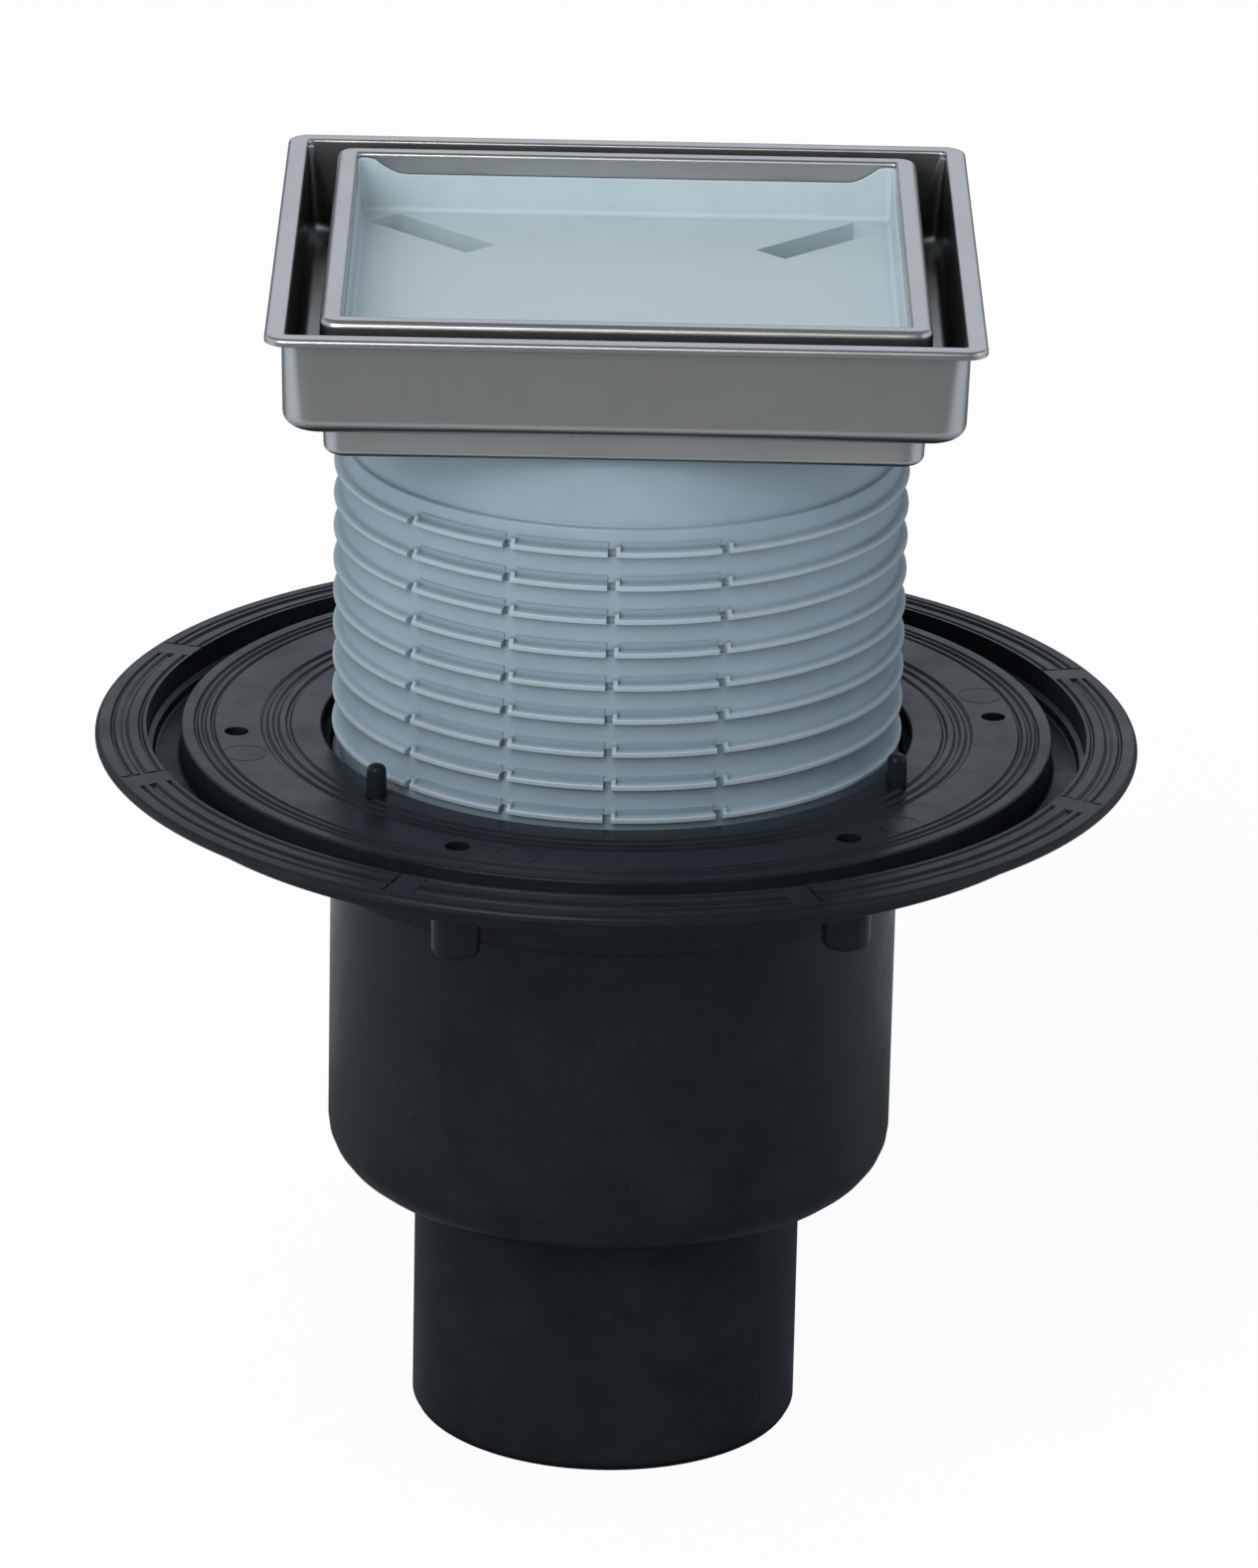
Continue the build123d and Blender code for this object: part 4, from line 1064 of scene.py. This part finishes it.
def insert_mesh(s):
    """Plastic insert: shallow box with raised corner ears, before its diagonal channels are added."""
    low = s.tray_top - s.tab_height - INSERT_GAP
    high = s.tray_top - s.sheet - INSERT_GAP
    floor = s.insert_floor
    outline = rounded([
        (INSERT_MIDDLE, floor, 0.0),
        (s.insert_wall - 0.25, floor, 1.1),
        (s.insert_wall, low, 0.25),
        (INSERT_EAR, low, 0.0),
        (INSERT_EAR, high, 0.0),
        (s.insert_half, high, 0.2),
        (s.insert_half, floor - INSERT_SHEET, 1.6),
        (INSERT_MIDDLE, floor - INSERT_SHEET, 0.0),
    ], 5)
    rings = []
    for half, z in outline:
        corner = max(0.8, INSERT_CORNER - (s.insert_half - half) * 0.45)
        ring = square_ring(half, corner, z, 64, 8)
        if abs(z - low) < 0.3 and half > s.insert_wall - 0.3:
            ring = [(x, y, tab_lift(x, y, z, high + z - low - 0.02)) for x, y, _ in ring]
        rings.append(ring)
    return skin("tray_insert_dressed", rings, closed=False)


def bar(name, inner, outer, width, bottom, top, corner):
    """Upright block along +X between two distances, with rounded upright corners."""
    half = width / 2
    ends = ((inner, -half), (outer, -half), (outer, half), (inner, half))
    outline = rounded([(x, y, corner) for x, y in ends], 3)
    return skin(name, [[(x, y, z) for x, y in outline] for z in (bottom, top)], closed=False)


def diagonal_bars(name, inner, outer, width, bottom, top, corner):
    """Four such blocks on the diagonals, as one object."""
    pieces = []
    for angle in around(CHANNEL_COUNT, CHANNEL_START_DEG):
        pieces.append(placed(bar(name, inner, outer, width, bottom, top, corner), turn=angle))
    return joined(name, pieces)


def insert_feet(s):
    """Blocks of the diagonal channels under the insert, which are its feet."""
    inner = s.slot_inner - FOOT_WALL
    outer = s.slot_outer + FOOT_WALL
    width = s.slot_width + 2 * FOOT_WALL
    return diagonal_bars("feet", inner, outer, width, FOOT_BOTTOM, s.insert_floor - OVERLAP, 0.0)


def insert_slots(s):
    """Hollows of the diagonal channels, open at the insert's floor."""
    bottom = FOOT_BOTTOM + FOOT_WALL
    top = s.insert_floor + OPEN_TOP
    return diagonal_bars("slots", s.slot_inner, s.slot_outer, s.slot_width, bottom, top, SLOT_CORNER)


# Operators


class DRAIN_OT_body(bpy.types.Operator):
    """Builds the black body with flange, grooves, bosses, pins, socket, pot and spigot"""

    bl_idname = "drain.body"
    bl_label = "Body"

    def execute(self, context):
        sizes = millimetres(context.scene.drain_body)
        body = turned_body(sizes)
        combined(body, body_additions(sizes), "UNION")
        combined(body, body_cuts(sizes), "DIFFERENCE")
        dress(body, "drain", "black_plastic", "drain_body")
        return {"FINISHED"}


class DRAIN_OT_collar(bpy.types.Operator):
    """Builds the grey collar with its neck, barbed ribs and rows of notches, and its rubber ring"""

    bl_idname = "drain.collar"
    bl_label = "Ribbed collar and gasket"

    def execute(self, context):
        sizes = millimetres(context.scene.drain_collar)
        dress(collar_mesh(sizes), "collar", "grey_plastic", "extension_collar")
        dress(gasket_mesh(sizes), "collar", "black_rubber", "frame_gasket")
        return {"FINISHED"}


class DRAIN_OT_frame(bpy.types.Operator):
    """Builds the deep-drawn steel frame"""

    bl_idname = "drain.frame"
    bl_label = "Steel frame"

    def execute(self, context):
        pan = frame_mesh(millimetres(context.scene.drain_top))
        dress(pan, "collar", "stainless", "steel_frame", SHEET_CREASE_DEG)
        return {"FINISHED"}


class DRAIN_OT_tray(bpy.types.Operator):
    """Builds the tile tray: stainless rim and plastic insert"""

    bl_idname = "drain.tray"
    bl_label = "Tile tray"

    def execute(self, context):
        s = millimetres(context.scene.drain_top)
        dress(tray_rim_mesh(s), "collar", "stainless", "tray_rim", SHEET_CREASE_DEG)
        insert = insert_mesh(s)
        combined(insert, insert_feet(s), "UNION")
        combined(insert, insert_slots(s), "DIFFERENCE")
        dress(insert, "collar", "insert_plastic", "tray_insert", INSERT_CREASE_DEG)
        return {"FINISHED"}


class DRAIN_OT_inside(bpy.types.Operator):
    """Gives the seals, the clamp parts, the strainer and the trap their materials"""

    bl_idname = "drain.inside"
    bl_label = "Seals, clamp, strainer and trap"

    def execute(self, context):
        finishes = {
            "lip_seal": "black_rubber",
            "standpipe_seal": "black_rubber",
            "frame_clamp_ring": "insert_plastic",
            "hair_strainer": "insert_plastic",
            "clamp_ring_screws": "steel_screw",
            "trap_standpipe": "white_plastic",
            "trap_bell": "white_plastic",
        }
        for name, slot in finishes.items():
            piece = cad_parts[name]
            piece.data.materials.clear()
            piece.data.materials.append(finish(slot))
        return {"FINISHED"}


# Stage


# The camera's angles are in radians, and its focal length is in pixels of the frame's height.
CAMERA_FOCAL_PX = 8944.71
CAMERA_ELEVATION = 0.3601278
CAMERA_ROLL = 0.0216249
CAMERA_YAW = math.radians(-0.4006)
CAMERA_AIM_MM = (2.62, 0.0, 128.1577)
CAMERA_DISTANCE_MM = 1708.95
CAMERA_CLIP = (0.05, 20.0)
FRAME_HEIGHT_PX = 1578
SENSOR_MM = 36.0

# Each lamp's name, place, width, power and colour
LAMPS = (
    ("key_lamp", (-0.50, -1.05, 0.95), 0.9, 13.5, (1.0, 0.995, 0.98)),
    ("side_lamp", (1.1, -0.35, 0.75), 0.8, 1.0, (0.97, 0.99, 1.0)),
    ("back_lamp", (0.05, 1.1, 0.75), 0.9, 1.1, (0.96, 0.985, 1.0)),
)
AIM_POINT = Vector((0.0, 0.0, 0.15))

# The world by direction: what gloss shows in front, at the rear, above and at the sides, and the
# soft fill from left to right. A range is the part of a direction over which a tone gives way.
WHITE = (1, 1, 1, 1)
ROOM_FRONT = (0.235, 0.255, 0.28, 1)
ROOM_REAR_LOW = (0.12, 0.13, 0.15, 1)
ROOM_REAR_HIGH = (0.60, 0.68, 0.78, 1)
ROOM_ABOVE = (0.22, 0.25, 0.29, 1)
ROOM_SIDE = (0.78, 0.87, 0.97, 1)
FILL_LEFT = (0.68, 0.69, 0.70, 1)
FILL_RIGHT = (0.46, 0.47, 0.49, 1)
FRONT_TO_REAR = (-0.6, 0.5)
REAR_RISE = (0.12, 0.36)
ABOVE_RISE = (0.40, 0.54)
SIDE_TURN = (0.45, 0.85)
LEFT_TO_RIGHT = (-0.8, 0.8)

# The floor: its own tone, and the tones that gloss shows by the distance from the drain in metres
FLOOR_HALF = 1500
FLOOR_BOTTOM = -1.2
FLOOR_TOP = -0.2
FLOOR_TONE = (0.86, 0.86, 0.87, 1)
FLOOR_GLOW = 0.94
FLOOR_NEAR = (0.60, 0.62, 0.64, 1)
FLOOR_MIDDLE = (0.15, 0.165, 0.17, 1)
FLOOR_FAR = (0.235, 0.245, 0.25, 1)
FLOOR_ASIDE_NEAR = (0.20, 0.23, 0.26, 1)
FLOOR_ASIDE_FAR = (0.84, 0.93, 1.0, 1)
NEAR_START = (0.17, 0.27)
NEAR_END = (0.36, 0.46)
FAR_START = (0.46, 0.75)
ASIDE_REACH = (0.12, 0.38)
ASIDE_TURN = (0.78, 0.96)


def camera_matrix():
    """Place and turn of the camera."""
    back = Vector((0.0, -math.cos(CAMERA_ELEVATION), math.sin(CAMERA_ELEVATION)))
    level = Vector((1.0, 0.0, 0.0))
    over = back.cross(level)
    right = math.cos(CAMERA_ROLL) * level + math.sin(CAMERA_ROLL) * over
    up = math.cos(CAMERA_ROLL) * over - math.sin(CAMERA_ROLL) * level
    place = (Vector(CAMERA_AIM_MM) + back * CAMERA_DISTANCE_MM) * MM
    turn = Matrix((right, up, back)).transposed().to_4x4()
    return Matrix.Rotation(CAMERA_YAW, 4, "Z") @ Matrix.Translation(place) @ turn


def make_camera():
    """Camera in front of the drain and a little above it."""
    data = bpy.data.cameras.new("camera")
    data.sensor_width = SENSOR_MM
    data.lens = CAMERA_FOCAL_PX / FRAME_HEIGHT_PX * SENSOR_MM
    data.clip_start, data.clip_end = CAMERA_CLIP
    camera = bpy.data.objects.new("camera", data)
    camera.matrix_world = camera_matrix()
    bpy.context.scene.collection.objects.link(camera)
    bpy.context.scene.camera = camera


def make_lamps():
    """Large soft lamps aimed at the drain."""
    for name, place, width, power, tone in LAMPS:
        data = bpy.data.lights.new(name, "AREA")
        data.size = width
        data.energy = power
        data.color = tone
        lamp = bpy.data.objects.new(name, data)
        lamp.location = place
        lamp.rotation_euler = (Vector(place) - AIM_POINT).to_track_quat("Z", "Y").to_euler()
        bpy.context.scene.collection.objects.link(lamp)


def make_world():
    """White backdrop for the camera, a room of dark and pale sides for gloss, soft fill for the rest."""
    world = bpy.data.worlds.new("studio")
    world.use_nodes = True
    tree = world.node_tree
    tree.nodes.clear()
    way = add(tree, "ShaderNodeTexCoord").outputs["Generated"]
    parts = add(tree, "ShaderNodeSeparateXYZ", {"Vector": way})
    depth = scaled(tree, parts.outputs["Y"], *FRONT_TO_REAR)
    height = scaled(tree, parts.outputs["Z"], *REAR_RISE)
    rear = mixed(tree, height, ROOM_REAR_LOW, ROOM_REAR_HIGH)
    above = scaled(tree, parts.outputs["Z"], *ABOVE_RISE)
    room = mixed(tree, depth, ROOM_FRONT, mixed(tree, above, rear, ROOM_ABOVE))
    side = scaled(tree, math_node(tree, "ABSOLUTE", parts.outputs["X"]), *SIDE_TURN)
    room = mixed(tree, side, room, ROOM_SIDE)
    across = scaled(tree, parts.outputs["X"], *LEFT_TO_RIGHT)
    fill = mixed(tree, across, FILL_LEFT, FILL_RIGHT)
    rays = add(tree, "ShaderNodeLightPath")
    gloss = math_node(tree, "MAXIMUM", rays.outputs["Is Glossy Ray"], rays.outputs["Is Transmission Ray"])
    soft = mixed(tree, gloss, fill, room)
    seen = mixed(tree, rays.outputs["Is Camera Ray"], soft, WHITE)
    shade = add(tree, "ShaderNodeBackground", {"Color": seen, "Strength": 1.0})
    add(tree, "ShaderNodeOutputWorld", {"Surface": shade.outputs[0]})
    bpy.context.scene.world = world


def make_floor():
    """Pale floor that keeps a faint shadow, with bands of tone in gloss."""
    corners = ((-FLOOR_HALF, -FLOOR_HALF), (FLOOR_HALF, -FLOOR_HALF),
               (FLOOR_HALF, FLOOR_HALF), (-FLOOR_HALF, FLOOR_HALF))
    rings = [[(x, y, z) for x, y in corners] for z in (FLOOR_BOTTOM, FLOOR_TOP)]
    floor = skin("floor", rings, closed=False)
    material = bpy.data.materials.new("pale_floor")
    material.use_nodes = True
    tree = material.node_tree
    tree.nodes.clear()
    rays = add(tree, "ShaderNodeLightPath")
    reach = axis_distance(tree)
    started = scaled(tree, reach, *NEAR_START)
    lasting = scaled(tree, reach, *NEAR_END, 1.0, 0.0)
    near = math_node(tree, "MULTIPLY", started, lasting)
    far = mixed(tree, scaled(tree, reach, *FAR_START), FLOOR_MIDDLE, FLOOR_FAR)
    ahead = mixed(tree, near, far, FLOOR_NEAR)
    place = add(tree, "ShaderNodeTexCoord").outputs["Object"]
    across = add(tree, "ShaderNodeSeparateXYZ", {"Vector": place}).outputs["X"]
    sideways = math_node(tree, "ABSOLUTE", across)
    aside = scaled(tree, math_node(tree, "DIVIDE", sideways, reach), *ASIDE_TURN)
    beside = mixed(tree, scaled(tree, reach, *ASIDE_REACH), FLOOR_ASIDE_NEAR, FLOOR_ASIDE_FAR)
    mirrored = mixed(tree, aside, ahead, beside)
    tone = mixed(tree, rays.outputs["Is Glossy Ray"], FLOOR_TONE, mirrored)
    matt = add(tree, "ShaderNodeBsdfDiffuse", {"Color": tone})
    white = add(tree, "ShaderNodeEmission", {"Color": WHITE, "Strength": 1.0})
    share = math_node(tree, "MULTIPLY", rays.outputs["Is Camera Ray"], FLOOR_GLOW)
    blend = add(tree, "ShaderNodeMixShader", {0: share, 1: matt.outputs[0], 2: white.outputs[0]})
    add(tree, "ShaderNodeOutputMaterial", {"Surface": blend.outputs[0]})
    floor.data.materials.append(material)


class DRAIN_OT_stage(bpy.types.Operator):
    """Builds the floor, the backdrop, the lamps and the camera"""

    bl_idname = "drain.stage"
    bl_label = "Stage"

    def execute(self, context):
        make_floor()
        make_world()
        make_lamps()
        make_camera()
        context.scene.view_settings.view_transform = "Standard"
        return {"FINISHED"}


class DRAIN_PT_panel(bpy.types.Panel):
    """Lists the drain's sizes, colours and pieces"""

    bl_idname = "DRAIN_PT_panel"
    bl_label = "Floor drain"
    bl_space_type = "VIEW_3D"
    bl_region_type = "UI"
    bl_category = "Drain"

    def draw(self, context):
        layout = self.layout
        for operator in OPERATORS:
            layout.operator(operator.bl_idname)
        for group in ("drain_body", "drain_collar", "drain_top", "drain_colours"):
            values = getattr(context.scene, group)
            box = layout.box()
            for name in type(values).__annotations__:
                box.prop(values, name)


GROUPS = {
    "drain_body": DrainBodySizes,
    "drain_collar": DrainCollarSizes,
    "drain_top": DrainTopSizes,
    "drain_colours": DrainColours,
}
OPERATORS = (
    DRAIN_OT_body,
    DRAIN_OT_collar,
    DRAIN_OT_frame,
    DRAIN_OT_tray,
    DRAIN_OT_inside,
    DRAIN_OT_stage,
)


def register():
    """Registers the property groups, the operators and the panel."""
    for name, group in GROUPS.items():
        bpy.utils.register_class(group)
        setattr(bpy.types.Scene, name, bpy.props.PointerProperty(type=group))
    for operator in OPERATORS:
        bpy.utils.register_class(operator)
    bpy.utils.register_class(DRAIN_PT_panel)


def unregister():
    """Takes back what register added."""
    bpy.utils.unregister_class(DRAIN_PT_panel)
    for operator in reversed(OPERATORS):
        bpy.utils.unregister_class(operator)
    for name, group in GROUPS.items():
        delattr(bpy.types.Scene, name)
        bpy.utils.unregister_class(group)


def main():
    """Builds everything."""
    register()
    bpy.ops.drain.stage()
    bpy.ops.drain.body()
    bpy.ops.drain.collar()
    bpy.ops.drain.frame()
    bpy.ops.drain.tray()
    bpy.ops.drain.inside()


if __name__ == "__main__":
    main()
